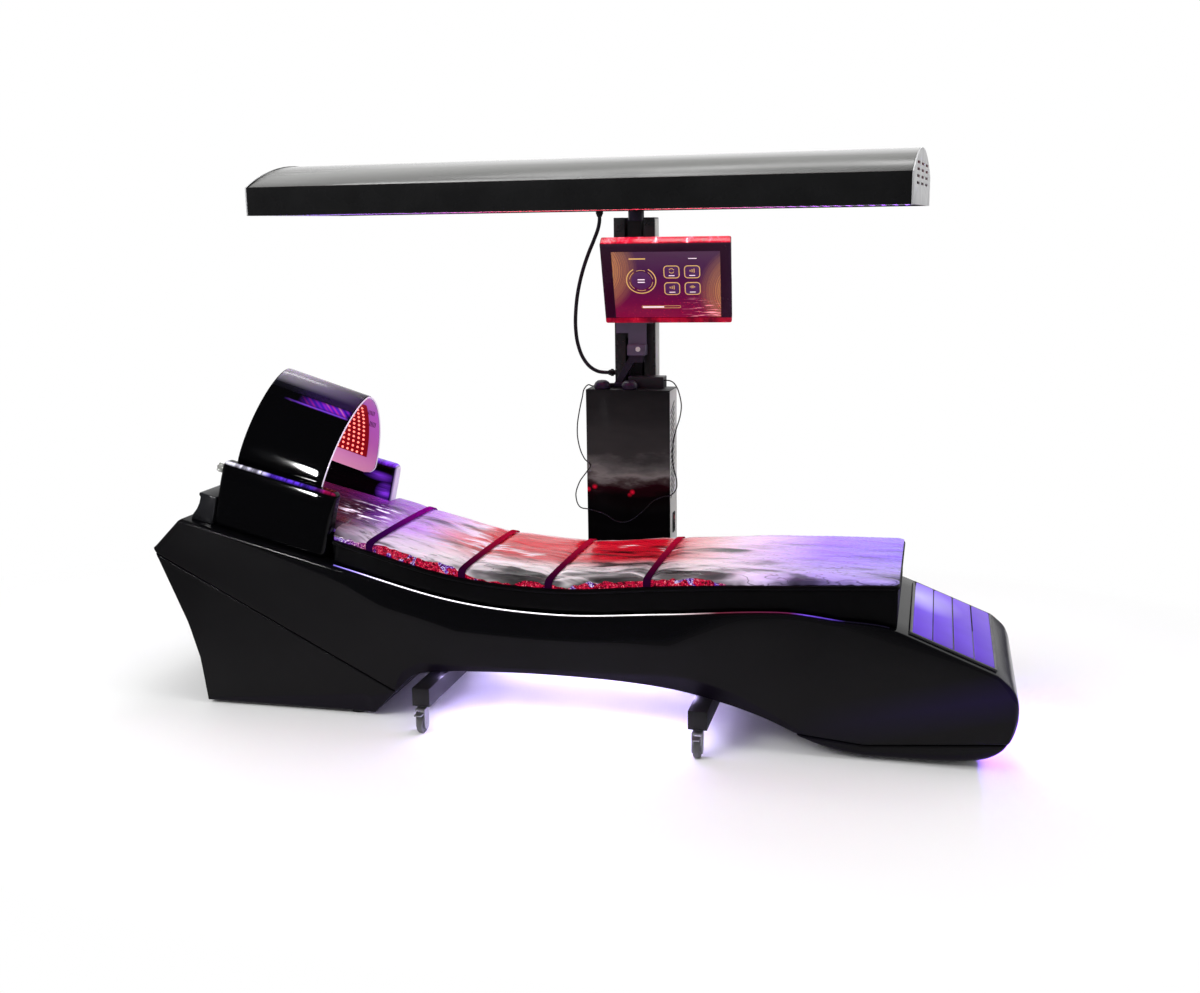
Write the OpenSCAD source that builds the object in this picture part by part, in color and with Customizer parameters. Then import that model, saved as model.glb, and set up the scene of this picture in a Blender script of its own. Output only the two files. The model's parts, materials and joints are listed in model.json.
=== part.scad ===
/* [Bed body] */
// Length of the bed from head tip to nose
bed_len = 2400; // [2250:10:2550]
// Width of the moulded body
bed_w = 540; // [510:5:640]
// Wall of the moulded shells
shell_t = 5; // [3:0.5:8]
// Height of the gap under the head plinth
ground_gap = 8; // [5:1:14]
// How far the top corner of the head block lies in from its tip
corner_in = 92; // [70:1:120]
// Height of the top corner of the head block
corner_h = 551; // [530:1:580]
// Height of the head tip
tip_h = 461; // [440:1:480]
// Length of the straight back rest along the floor, from the top corner
back_len = 501; // [470:1:530]
// Height of the deck at the end of the back rest
back_h = 427; // [415:1:440]
// Place of the lumbar station
lumbar_x = -290; // [-320:1:-260]
// Height of the deck at the lumbar station
lumbar_h = 353; // [345:1:365]
// Place of the waist, the lowest station of the deck
waist_x = 5; // [-20:1:30]
// Height of the deck at the waist
waist_h = 332; // [322:1:342]
// Place of the thigh station
thigh_x = 300; // [270:1:330]
// Height of the deck at the thigh station
thigh_h = 352; // [344:1:362]
// Place of the knee station
knee_x = 600; // [580:1:630]
// Height of the deck at the knee station
knee_h = 377; // [368:1:388]
// How far the calf station lies in from the nose
calf_in = 285; // [275:1:305]
// Height of the deck at the calf station
calf_h = 344; // [336:1:352]
// How far the end of the deck lies in from the nose
nose_in = 51; // [45:1:60]
// Height of the end of the deck
nose_h = 251; // [240:1:262]
// Where the arch leaves the head block
arch_head_x = -420; // [-440:1:-400]
// Height of the arch where it leaves the head block
arch_head_h = 127; // [118:1:135]
// Height of the arch under the waist
arch_h = 165; // [155:1:172]
// Where the arch comes down to the foot bulb
arch_foot_x = 738; // [715:1:760]
// Gap under the foot bulb
bulb_gap = 10; // [6:1:16]
/* [Mattress] */
// Height of the mattress pad over the deck
mattress_t = 92; // [80:1:110]
// How far the lip of the base lies below the top of the pad
lip_drop = 23; // [16:1:26]
// Width of the mattress base
mattress_w = 500; // [470:2:506]
// Width of the pad on the base
pad_w = 476; // [440:2:490]
// Width of the narrow part between the wings
pillow_w = 364; // [330:2:372]
// Height of the pad at its foot end
pad_foot_h = 471; // [462:1:480]
// How far the foot end of the mattress lies in from the nose
mattress_in = 298; // [296:1:340]
// Width of a strap
strap_w = 28; // [20:1:36]
// Thickness of a strap
strap_t = 1.5; // [1:0.1:2]
// Thickness of the film
film_t = 1.2; // [0.8:0.1:1.6]
/* [Wings and hood] */
// Where a wing starts, along the back rest from the top corner
wing_u = 89; // [80:1:110]
// Length of a wing
wing_len = 355; // [340:1:360]
// Height of a wing
wing_h = 195; // [185:1:215]
// Thickness of a wing
wing_t = 52; // [44:1:56]
// Outside width over both wings
wings_w = 484; // [480:2:500]
// Wall of wings and hood
panel_t = 4; // [3:0.5:5]
// Hinge of the hood, along the back rest from the start of the wings
hinge_in = 45; // [40:1:60]
// Height of the hinge over the deck
hinge_v = 167; // [160:1:172]
// Radius of a hinge pin
hinge_r = 8; // [6:0.5:9]
// Running clearance of pins and shafts
run = 0.05; // [0.02:0.01:0.08]
// Length of the hood
hood_len = 268; // [240:1:290]
// Overall width of the hood
hood_w = 372; // [350:2:374]
// Height of the hood over its hinge
hood_h = 278; // [250:1:300]
// Lean of the hood against the back rest
hood_lean = 3.3; // [0:0.1:6]
// Thickness of the hood liner
liner_t = 3; // [2:0.5:4]
/* [Under frame] */
// Side of the square wheel beams
beam_s = 50; // [40:1:56]
// Length of a wheel beam
beam_len = 690; // [670:2:740]
// Place of the beam by the head block
beam_head_x = -357; // [-370:1:-340]
// Place of the beam by the foot bulb
beam_foot_x = 407; // [396:1:408]
// Wall of the steel tubes
tube_t = 3; // [2:0.5:4]
// Height of the lower face of the beams
beam_z = 77; // [76:1:78]
// Radius of a caster wheel
wheel_r = 25; // [22:1:27]
// Width of a caster wheel
wheel_w = 18; // [14:1:20]
// Trail of a caster
trail = 18; // [14:1:22]
// Distance of a caster from the end of its beam
caster_in = 23; // [20:1:30]
/* [Tower] */
// Middle of the tower along the bed
tower_x = 35; // [0:1:60]
// Width of the mast
mast_w = 132; // [120:2:150]
// Depth of the mast
mast_d = 62; // [58:1:80]
// Height of the top of the mast
mast_top = 1375; // [1340:5:1400]
// Front face of the mast, behind the middle of the bed
mast_y = 580; // [575:1:620]
// Wall of the mast
mast_t = 4; // [3:0.5:5]
// Width of the slot in the mast
slot_w = 60; // [56:1:66]
// Side of the inner column
column_w = 44; // [38:1:50]
// Travel of the lift
lift = 300; // [200:10:320]
// Width of the cabinet
cabinet_w = 270; // [240:2:300]
// Depth of the cabinet
cabinet_d = 110; // [100:1:114]
// Height of the top of the cabinet
cabinet_top = 847; // [820:1:870]
// Sheet of the cabinet
sheet_t = 2; // [1.5:0.1:3]
// Thickness of the base plate
base_t = 12; // [8:1:16]
/* [Canopy] */
// Length of the canopy
canopy_len = 1764; // [1600:2:1900]
// Width of the canopy
canopy_w = 520; // [460:2:560]
// Height of the canopy sides
fascia_h = 75; // [65:1:85]
// Rise of the domed cover
dome_h = 63; // [50:1:80]
// Height of the lower edge of the canopy
canopy_z = 1392; // [1385:1:1395]
// Turn of the canopy about the mast in the resting pose
canopy_yaw = -3.5; // [-8:0.5:8]
// Sideways shift of the canopy on its arm
canopy_shift = 38; // [0:1:60]
// Sheet of the canopy
canopy_t = 3; // [2:0.5:4]
/* [Monitor] */
// Width of the monitor
monitor_w = 390; // [360:2:420]
// Height of the monitor
monitor_h = 282; // [250:2:290]
// Thickness of the monitor
monitor_d = 36; // [28:1:44]
// Width of the display
display_w = 326; // [300:2:340]
// Height of the display
display_h = 232; // [200:2:240]
// Turn of the monitor in the resting pose
monitor_yaw = 7; // [0:0.5:12]
// Forward lean of the monitor in the resting pose
monitor_lean = 29; // [20:0.5:32]
// Distance of the tilt pin from the back of the monitor
tilt_gap = 25; // [22:1:30]
/* [Hidden] */
$fn = 48;
// Seat gap between a part and what carries it
seat = 0.3;
// Open line between two neighbouring shells
seam = 0.5;
// Step of the curved outlines
step = 40;
half = bed_len / 2;
corner_x = -half + corner_in;
back_x = corner_x + back_len;
back_tilt = atan((corner_h - back_h) / (back_x - corner_x));
calf_x = half - calf_in;
nose_x = half - nose_in;
foot_tilt = atan((calf_h - nose_h) / (nose_x - calf_x));
mattress_x = half - mattress_in;
shin_x = (knee_x + calf_x) / 2 - 12;
shin_h = knee_h - 11;
// Smooth curve through stations p at x, with slopes m at the stations
function place(p, x, i = 0) = i >= len(p) - 2 || x < p[i + 1][0] ? i : place(p, x, i + 1);
function hermite(a, b, ma, mb, t) = (2*t*t*t - 3*t*t + 1) * a + (t*t*t - 2*t*t + t) * ma
    + (3*t*t - 2*t*t*t) * b + (t*t*t - t*t) * mb;
function slopes(p, first, last) = [for (i = [0:len(p) - 1]) i == 0 ? first
    : i == len(p) - 1 ? last : (p[i + 1][1] - p[i - 1][1]) / (p[i + 1][0] - p[i - 1][0])];
function curve(p, m, x) = let (i = place(p, x), h = p[i + 1][0] - p[i][0], t = (x - p[i][0]) / h)
    hermite(p[i][1], p[i + 1][1], m[i] * h, m[i + 1] * h, t);
// Deck of the bed
deck_p = [[back_x, back_h], [lumbar_x, lumbar_h], [waist_x, waist_h], [thigh_x, thigh_h],
    [knee_x, knee_h], [shin_x, shin_h], [calf_x, calf_h]];
deck_m = slopes(deck_p, -tan(back_tilt), -tan(foot_tilt));
function deck_z(x) = x <= back_x ? back_h + (back_x - x) * tan(back_tilt)
    : x >= calf_x ? calf_h - (x - calf_x) * tan(foot_tilt) : curve(deck_p, deck_m, x);
// Underside of the bed from the arch to the foot bulb
arch_p = [[arch_head_x, arch_head_h], [arch_head_x + 80, arch_head_h + 21], [waist_x - 41, arch_h],
    [thigh_x - 7, arch_h - 13], [knee_x - 55, arch_h - 67], [arch_foot_x, bulb_gap + 14],
    [arch_foot_x + 132, bulb_gap]];
arch_m = slopes(arch_p, 0.5, 0);
arch_end = arch_foot_x + 132;
function arch_z(x) = curve(arch_p, arch_m, x);
// Foot of the sloping face of the head block
heel_x = arch_head_x - (arch_head_h - ground_gap);
// Rear edge of the head block, from its foot to the notch under the tip
edge_p = [[ground_gap, -half + 138], [120, -half + 129], [tip_h - 223, -half + 95],
    [tip_h - 14, -half + 6]];
edge_m = slopes(edge_p, 0, -0.4);
function edge_x(z) = curve(edge_p, edge_m, z);
// Nose from the end of the deck down to the bulb
nose_p = [[nose_x, nose_h], [half - 13, nose_h - 39], [half, nose_h - 86],
    [half - 22, bulb_gap + 65], [half - 64, bulb_gap + 24], [half - 110, bulb_gap + 9],
    [half - 200, bulb_gap]];
function unit(v) = v / norm(v);
function tangent(p, i) = i == 0 ? unit(p[1] - p[0]) : i == len(p) - 1 ? unit(p[i] - p[i - 1])
    : unit((p[i + 1] - p[i]) / norm(p[i + 1] - p[i]) + (p[i] - p[i - 1]) / norm(p[i] - p[i - 1]));
function smooth(p, n) = [for (i = [0:len(p) - 2]) let (l = norm(p[i + 1] - p[i]))
    for (k = [0:n - 1]) hermite(p[i], p[i + 1], tangent(p, i) * l, tangent(p, i + 1) * l, k / n),
    p[len(p) - 1]];
// Line between the head plinth and the main shell, and its end on the arch
seam_a = [edge_x(tip_h - 14), tip_h - 14];
seam_b = [arch_head_x - 45, arch_head_h - 45];
// Line between the foot skirt and the main shell
skirt_a = [half - 22, bulb_gap + 65];
skirt_b = [arch_foot_x + 90, bulb_gap + 32];
skirt_x = arch_foot_x - 88;
// Middle of the bed, so that the whole part is centred on its own box
caster_y = beam_len / 2 - caster_in;
pedal_out = 34;
rear_y = mast_y + 180;
front_y = -(caster_y + trail + pedal_out);
bed_y = -(rear_y + front_y) / 2;
module at_bed() {
    translate([0, bed_y, 0]) children();
}
module across(w, y = 0) {
    translate([0, y + w / 2, 0]) rotate([90, 0, 0]) linear_extrude(w) children();
}
// A closed solid through a list of equal rings of points
module loft(rings) {
    n = len(rings[0]);
    m = len(rings);
    polyhedron([for (r = rings) for (p = r) p],
        concat([[for (i = [0:n - 1]) i]],
        [for (k = [0:m - 2]) for (i = [0:n - 1]) [k*n + i, (k + 1)*n + i, (k + 1)*n + (i + 1) % n]],
        [for (k = [0:m - 2]) for (i = [0:n - 1]) [k*n + i, (k + 1)*n + (i + 1) % n, k*n + (i + 1) % n]],
        [[for (i = [n - 1:-1:0]) (m - 1)*n + i]]), convexity = 10);
}
// Outlines of the three shells, seen from the side
// All lines along the deck share the same stations, so that parts lie flat on each other
function station(k) = corner_x + k * step;
function facet(x) = let (k = floor((x - corner_x) / step), t = (x - station(k)) / step)
    (1 - t) * deck_z(station(k)) + t * deck_z(station(k + 1));
function deck_line(a, b, up) = concat([[a, facet(a) + up]],
    [for (k = [ceil((a + 1 - corner_x) / step):floor((b - 1 - corner_x) / step)])
        [station(k), deck_z(station(k)) + up]],
    [[b, facet(b) + up]]);
function arch_line(a, b, up) = [for (x = [a:step:b]) [x, arch_z(x) + up]];
function back(p) = [for (i = [len(p) - 1:-1:0]) p[i]];
edge_line = [for (i = [0:12]) let (z = ground_gap + (tip_h - 14 - ground_gap) * i / 12) [edge_x(z), z]];
nose_line = smooth(nose_p, 5);
upper_nose = [for (p = nose_line) if (p[1] > skirt_a[1] + 3) p];
lower_nose = [for (p = nose_line) if (p[1] < skirt_a[1] - 3) p];
module main_side() {
    polygon(concat([seam_a + [0, seam], [-half, tip_h]], deck_line(corner_x, nose_x - 20, 0), upper_nose,
        [skirt_a + [0, seam], skirt_b + [0, seam], [skirt_x, arch_z(skirt_x)]],
        back(arch_line(arch_head_x, skirt_x - 20, 0)), [seam_b + [0, seam]]));
}
module plinth_side() {
    polygon(concat(edge_line, [seam_b, [heel_x, ground_gap]]));
}
module skirt_side() {
    polygon(concat([[skirt_x + seam, arch_z(skirt_x + seam)], skirt_b, skirt_a], lower_nose,
        back(arch_line(skirt_x + step, arch_end, 0))));
}
// Common hollow of the shells
module hollow_side() {
    t = shell_t;
    polygon(concat([[corner_x - 50, tip_h - 30 + t], [corner_x + 6, corner_h - 2 * t]],
        deck_line(corner_x + step, nose_x - 30, -t),
        [[nose_x - t, nose_h - 3 * t], [half - 13 - 2 * t, nose_h - 44], [half - t - 2, nose_h - 86],
        [half - 24 - t, bulb_gap + 65], [half - 70, bulb_gap + 26 + t], [half - 210, bulb_gap + t + 2]],
        back(arch_line(arch_head_x, arch_end, t + 0.5)),
        [[heel_x - t, ground_gap + t], [edge_p[0][1] + 2 * t, ground_gap + t]],
        [for (i = [1, 2]) [edge_p[i][1] + 2 * t, edge_p[i][0]]]));
}
module hollow() {
    across(bed_w - 2 * shell_t) hollow_side();
}
// Posts of the chassis that stand on the wheel beams, and those on the shell floors
post_y = 150;
post_s = 40;
rail_z = arch_h + shell_t + 1;
rail_h = 50;
rail_a = corner_x + 130;
rail_b = calf_x + 120;
module main_shell() {
    color([0.06, 0.06, 0.07]) at_bed() difference() {
        across(bed_w) main_side();
        hollow();
        for (x = [beam_head_x, beam_foot_x]) for (s = [-1, 1])
            translate([x - post_s / 2 - 1, s * post_y - post_s / 2 - 1, beam_z])
                cube([post_s + 2, post_s + 2, 130]);
    }
}
module head_plinth() {
    color([0.08, 0.08, 0.09]) at_bed() difference() {
        across(bed_w) plinth_side();
        hollow();
    }
}
module foot_skirt() {
    color([0.05, 0.05, 0.06]) at_bed() difference() {
        across(bed_w) skirt_side();
        hollow();
    }
}
module chassis() {
    feet_x = [rail_a + 60, rail_b - 72];
    feet_z = [ground_gap + shell_t + seat, bulb_gap + shell_t + 2 + seat];
    color([0.3, 0.3, 0.32]) at_bed() union() {
        for (s = [-1, 1]) translate([rail_a, s * post_y - 15, rail_z]) cube([rail_b - rail_a, 30, rail_h]);
        for (x = [rail_a, beam_head_x - 15, waist_x, beam_foot_x - 15, rail_b - 30])
            translate([x, -post_y, rail_z]) cube([30, 2 * post_y, rail_h]);
        for (x = [beam_head_x, beam_foot_x]) for (s = [-1, 1])
            translate([x - post_s / 2, s * post_y - post_s / 2, beam_z + beam_s])
                cube([post_s, post_s, rail_z + 10 - beam_z - beam_s]);
        for (i = [0, 1]) for (s = [-1, 1])
            translate([feet_x[i] - post_s / 2, s * post_y - post_s / 2, feet_z[i]])
                cube([post_s, post_s, rail_z + 10 - feet_z[i]]);
    }
}
module beam(len) {
    difference() {
        translate([-beam_s / 2, 0, 0]) cube([beam_s, len, beam_s]);
        translate([-beam_s / 2 + tube_t, 4, tube_t])
            cube([beam_s - 2 * tube_t, len - 8, beam_s - 2 * tube_t]);
    }
}
// Two wheel beams, and the link at the back that carries the tower
module floor_frame() {
    link_y = beam_len / 2;
    color([0.1, 0.1, 0.11]) at_bed() difference() {
        union() {
            for (x = [beam_head_x, beam_foot_x]) translate([x, -link_y, beam_z]) beam(beam_len);
            translate([beam_foot_x + beam_s / 2, link_y + beam_s / 2 - 0.5, beam_z]) rotate([0, 0, 90])
                beam(beam_foot_x - beam_head_x + beam_s);
            for (s = [-1, 1]) translate([tower_x + s * 100 - 20, link_y + 5, base_z])
                cube([40, 40, beam_z + 1 - base_z]);
        }
        for (x = [beam_head_x, beam_foot_x]) for (s = [-1, 1])
            translate([x, s * caster_y, beam_z - 1]) cylinder(r = stem_r + run, h = tube_t + 2);
    }
}
module level_feet() {
    base_x = [tower_x - base_plate_w / 2 + 30, tower_x + base_plate_w / 2 - 30];
    color([0.05, 0.05, 0.05]) at_bed() {
        for (x = [edge_p[0][1] + 60, heel_x - 60]) for (s = [-1, 1])
            translate([x, s * (bed_w / 2 - 45), 0]) cylinder(r = 22, h = ground_gap);
        for (x = [arch_end + 20, half - 210]) for (s = [-1, 1])
            translate([x, s * (bed_w / 2 - 60), 0]) cylinder(r = 18, h = bulb_gap);
        for (x = base_x) for (y = [base_front + 40, rear_y - 35]) translate([x, y, 0])
            cylinder(r = 20, h = ground_gap);
    }
}
// Lamp strips along the rim and under the arch, ending before the foot side beam
strip_a = arch_head_x + 2 * step;
strip_b = arch_head_x + step * floor((beam_foot_x - beam_s / 2 - arch_head_x) / step) + 1;
module light_strips() {
    color([0.85, 0.8, 1]) at_bed() for (s = [-1, 1]) {
        across(6, s * (mattress_w / 2 + 6)) polygon(concat(deck_line(back_x - 33, mattress_x, seat),
            back(deck_line(back_x - 33, mattress_x, 4))));
        across(12, s * (bed_w / 2 - 40)) polygon(concat(arch_line(strip_a, strip_b, -seat),
            back(arch_line(strip_a, strip_b, -5))));
    }
}
// Foot deck: a frame with four glowing tiles
tile_n = 4;
tile_len = 52;
tile_gap = 3;
tile_w = bed_w - 76;
module on_foot() {
    at_bed() translate([calf_x, 0, calf_h]) rotate([0, foot_tilt, 0]) children();
}
tile_u = 20;
tile_end = tile_u + tile_n * tile_len + (tile_n - 1) * tile_gap;
module tile_frame() {
    color([0.45, 0.45, 0.48]) on_foot() difference() {
        translate([tile_u - 8, -tile_w / 2 - 8, seat]) cube([tile_end - tile_u + 16, tile_w + 16, 6]);
        for (i = [0:tile_n - 1]) translate([tile_u + i * (tile_len + tile_gap), -tile_w / 2, 1.8])
            cube([tile_len, tile_w, 10]);
    }
}
module foot_tiles() {
    color([0.55, 0.45, 0.95]) on_foot() for (i = [0:tile_n - 1])
        translate([tile_u + i * (tile_len + tile_gap) + 0.5, -tile_w / 2 + 0.5, 1.8 + seat])
            cube([tile_len - 1, tile_w - 1, 5.4]);
}
// Frame that lies on the back rest: u along it, v out of it
module on_back() {
    at_bed() translate([corner_x, 0, corner_h]) rotate([0, back_tilt, 0]) children();
}
module head_cowl() {
    top = 84;
    color([0.07, 0.06, 0.09]) on_back() across(wings_w - 8) polygon([[20, seat], [24, 16], [33, 34], [38, 52],
        [39, top - 12], [34, top - 9], [34, top], [wing_u - 1, top], [wing_u - 1, seat]]);
}
// Mattress: firm base, soft pad, film and straps
pillow_x = corner_x + (wing_u + wing_len) * cos(back_tilt) + 29;
pillow_end = corner_x + (wing_u + 4) * cos(back_tilt) + 20;
pad_p = [[back_x, back_h + mattress_t], [lumbar_x, lumbar_h + mattress_t - 2],
    [waist_x, waist_h + mattress_t],
    [thigh_x, thigh_h + mattress_t + 4], [knee_x, knee_h + mattress_t - 2], [mattress_x, pad_foot_h]];
pad_m = slopes(pad_p, -tan(back_tilt), 0);
function pad_z(x) = x <= back_x ? deck_z(x) + mattress_t : curve(pad_p, pad_m, x);
function drop(x) = lip_drop * (x < knee_x ? 1 : 1 - 0.6 * (x - knee_x) / (mattress_x - knee_x));
function lip_z(x) = pad_z(x) - drop(x);
strap_x = [-535, -265, -18, 253];
// Stations of the pad: those of the deck, two where it widens, and three at each strap
pad_a = pillow_end + 2;
pad_b = mattress_x - 2;
function stations(a, b) = [for (k = [0:ceil(bed_len / step)]) if (station(k) > a && station(k) < b) station(k)];
pad_xs = concat([pad_a], stations(pad_a + 9, pillow_x - 8), [pillow_x + 2.5, pillow_x + 3.5],
    [for (i = [0:len(strap_x) - 1]) each concat(
        stations(i == 0 ? pillow_x + 12 : strap_x[i - 1] + 32, strap_x[i] - 32),
        [for (d = [-24, 0, 24]) strap_x[i] + d])],
    stations(strap_x[len(strap_x) - 1] + 32, pad_b - 9), [pad_b]);
module base_side(a, b) {
    polygon(concat([[a, lip_z(a)]], [for (x = pad_xs) if (x > a + 1 && x < b - 1) [x, lip_z(x)]],
        [[b, lip_z(b)]], back(deck_line(a, b, seat))));
}
module mattress_base() {
    color([0.04, 0.04, 0.045]) at_bed() union() {
        across(mattress_w) base_side(pillow_x, mattress_x);
        across(pillow_w) base_side(pillow_end, pillow_x + 1);
    }
}
function dip(x) = max([for (s = strap_x) exp(-pow((x - s) / 26, 2))]);
function pad_half(x) = (x < pillow_x + 3 ? pillow_w - 6 : pad_w) / 2;
// Top of the pad across the bed, s from -1 to 1, with crown, rolled edge and strap channels
function pad_top(x, s, up) = [x, s * pad_half(x),
    pad_z(x) - 0.4 * drop(x) * pow(abs(s), 12) + 4 * (1 - s * s) - 4 * dip(x) * (1 - pow(s, 8)) + up];
function grid_s(n) = [for (i = [0:n]) sin(-90 + 180 * i / n)];
pad_n = 7;
module mattress_pad() {
    color([0.75, 0.73, 0.76]) at_bed() loft([for (x = pad_xs)
        concat([for (s = grid_s(pad_n)) pad_top(x, s, 0)],
        [[x, pad_half(x) - 1, lip_z(x) + 0.3 * drop(x)], [x, pad_half(x) - 4, lip_z(x) + seat],
        [x, -pad_half(x) + 4, lip_z(x) + seat], [x, -pad_half(x) + 1, lip_z(x) + 0.3 * drop(x)]])]);
}
module film_cover() {
    color([0.8, 0.75, 0.85, 0.5]) at_bed() loft([for (x = pad_xs)
        concat([for (s = grid_s(pad_n)) pad_top(x, s, 1 + film_t)],
            back([for (s = grid_s(pad_n)) pad_top(x, s, 1)]))]);
}
module straps() {
    color([0.2, 0.03, 0.15]) at_bed() for (c = strap_x) loft([for (k = [-1, 0, 1])
        let (x = c + k * strap_w / 2,
        z = 3.2 + film_t, e = pad_half(x) + 2)
        concat([[x, -e - strap_t, lip_z(x) + seat]], [for (s = grid_s(8)) let (p = pad_top(x, s, z + strap_t))
        [x, s * (e + strap_t), p[2]]], [[x, e + strap_t, lip_z(x) + seat], [x, e, lip_z(x) + seat]],
        back([for (s = grid_s(8)) let (p = pad_top(x, s, z)) [x, s * e, p[2]]]),
            [[x, -e, lip_z(x) + seat]])]);
}
// Wings beside the head
wing_in = wings_w / 2 - wing_t;
hinge_u = wing_u + hinge_in;
knob_y = wing_in + wing_t / 2;
screw_r = 4;
module wing() {
    boss_r = hinge_r + 12;
    difference() {
        union() {
            difference() {
                translate([wing_u, wing_in, seat]) cube([wing_len, wing_t, wing_h - seat]);
                translate([wing_u + panel_t, wing_in + panel_t, -1])
                    cube([wing_len - 2 * panel_t, wing_t - 2 * panel_t, wing_h + 1 - panel_t]);
            }
            translate([hinge_u, wing_in + 1, hinge_v]) rotate([-90, 0, 0])
                cylinder(r = boss_r, h = wing_t - panel_t - 2);
        }
        translate([hinge_u, wing_in - 1, hinge_v]) rotate([-90, 0, 0])
            cylinder(r = hinge_r + run, h = wing_t - panel_t - 4);
        translate([wing_u - 1, knob_y, hinge_v]) rotate([0, 90, 0]) cylinder(r = screw_r + run, h = hinge_in);
    }
}
module wing_near() {
    color([0.04, 0.04, 0.05]) on_back() mirror([0, 1, 0]) wing();
}
module wing_far() {
    color([0.04, 0.04, 0.05]) on_back() wing();
}
// Hood frame: origin on the hinge line, a along the hood, b out of the back rest
module on_hinge() {
    on_back() translate([hinge_u, 0, hinge_v]) rotate([0, hood_lean, 0]) children();
}
arch_p_hood = 1.65;
hood_foot = -4;
hood_spring = 30;
function arch_w(b, w, h) = b <= hood_spring ? w
    : w * pow(max(0, 1 - pow((b - hood_spring) / (h - hood_spring), arch_p_hood)), 1 / arch_p_hood);
function arch_half(w, h, n) = [for (i = [0:n]) let (q = sin(90 * i / n), b = hood_spring + (h - hood_spring) * q)
    [arch_w(b, w, h), b]];
function arch_loop(w, h, b0) = let (a = arch_half(w, h, 14))
    concat([[w, b0]], a, [for (i = [len(a) - 2:-1:0]) [-a[i][0], a[i][1]]], [[-w, b0]]);
module arch_solid(len_a, w, h, b0) {
    rotate([90, 0, 90]) linear_extrude(len_a) polygon(arch_loop(w, h, b0));
}
hood_back = -26;
module hood_shell() {
    w = hood_w / 2;
    color([0.04, 0.04, 0.05]) on_hinge() difference() {
        union() {
            difference() {
                translate([hood_back, 0, 0]) arch_solid(hood_len, w, hood_h, hood_foot);
                translate([hood_back - 1, 0, 0])
                    arch_solid(hood_len + 2, w - panel_t, hood_h - panel_t, hood_foot - 20);
            }
            for (s = [-1, 1]) translate([0, s * (w - panel_t / 2), 0]) rotate([90, 0, 0])
                cylinder(r = hinge_r + 10, h = panel_t, center = true);
        }
        translate([0, w + 1, 0]) rotate([90, 0, 0]) cylinder(r = hinge_r + run, h = hood_w + 2);
    }
}
module hood_liner() {
    w = hood_w / 2 - panel_t - 0.1;
    h = hood_h - panel_t - 0.1;
    a = hinge_r + 14;
    color([0.85, 0.65, 0.85]) on_hinge() difference() {
        translate([a, 0, 0]) arch_solid(hood_len + hood_back - a + 3, w, h, hood_foot);
        translate([a - 1, 0, 0]) arch_solid(hood_len + 10, w - liner_t, h - liner_t, hood_foot - 20);
    }
}
module hood_leds() {
    w = hood_w / 2 - panel_t - liner_t - 0.3;
    h = hood_h - panel_t - liner_t - 0.3;
    a = 50;
    color([0.9, 0.1, 0.1]) on_hinge() difference() {
        translate([a, 0, 0]) arch_solid(hood_len - 110, w, h, hood_foot);
        translate([a - 1, 0, 0]) arch_solid(hood_len, w - 2, h - 2, hood_foot - 20);
        translate([a - 1, -w - 1, hood_foot - 1]) cube([hood_len, 2 * w + 2, 50]);
        translate([a - 1, -w - 1, hood_h - 50]) cube([hood_len, 2 * w + 2, 60]);
    }
}
module hood_pins() {
    w = hood_w / 2;
    color([0.7, 0.7, 0.72]) on_hinge() for (s = [-1, 1]) {
        translate([0, s * (w - panel_t), 0]) rotate([-90 * s, 0, 0])
            cylinder(r = hinge_r, h = wings_w / 2 - panel_t - 6 - w + panel_t);
        translate([0, s * (w - panel_t - 3), 0]) rotate([-90 * s, 0, 0]) cylinder(r = hinge_r + 5, h = 3);
    }
}
module knob() {
    grip = 12;
    color([0.3, 0.3, 0.32]) union() {
        translate([0, 0, 1]) cylinder(r = grip - 2, h = 16);
        for (i = [0:5]) rotate([0, 0, 60 * i]) translate([grip - 2, 0, 1]) cylinder(r = 3.5, h = 16);
        translate([0, 0, -(hinge_in - hinge_r - seat)])
            cylinder(r = screw_r, h = hinge_in - hinge_r - seat + 2);
    }
}
module hood_knob_near() {
    on_back() translate([wing_u, -knob_y, hinge_v]) rotate([0, -90, 0]) knob();
}
module hood_knob_far() {
    on_back() translate([wing_u, knob_y, hinge_v]) rotate([0, -90, 0]) knob();
}
// Casters: stem into the beam, fork, wheel and brake pedal
stem_r = 5.5;
axle_r = 4;
cheek = wheel_w / 2 + 1.5;
module at_caster(i) {
    x = [beam_head_x, beam_foot_x, beam_head_x, beam_foot_x][i];
    s = i < 2 ? -1 : 1;
    at_bed() translate([x, s * caster_y, 0]) mirror([0, i < 2 ? 0 : 1, 0]) children();
}
module caster_fork(i) {
    plate = wheel_r * 2 + 20;
    color([0.09, 0.09, 0.1]) at_caster(i) union() {
        translate([0, 0, plate]) cylinder(r = stem_r, h = beam_z + 14 - plate);
        translate([0, 0, plate]) cylinder(r = 14, h = beam_z - plate - 0.2);
        translate([-cheek - 3, -trail - 14, plate - 4]) cube([2 * cheek + 6, trail + 30, 5]);
        for (s = [-1, 1]) {
            translate([s * (cheek + 1.5) - 1.5, -trail - 14, wheel_r]) cube([3, 28, plate - wheel_r - 2]);
            translate([s * (cheek + 1.5), -trail, wheel_r]) rotate([0, 90, 0])
                cylinder(r = 14, h = 3, center = true);
        }
        translate([-cheek - 1, -trail, wheel_r]) rotate([0, 90, 0]) cylinder(r = axle_r, h = 2 * cheek + 2);
        if (i < 2) translate([-cheek - 1, -trail - 10, plate - 12]) rotate([0, 90, 0])
            cylinder(r = 1.5, h = 2 * cheek + 2);
    }
}
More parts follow.
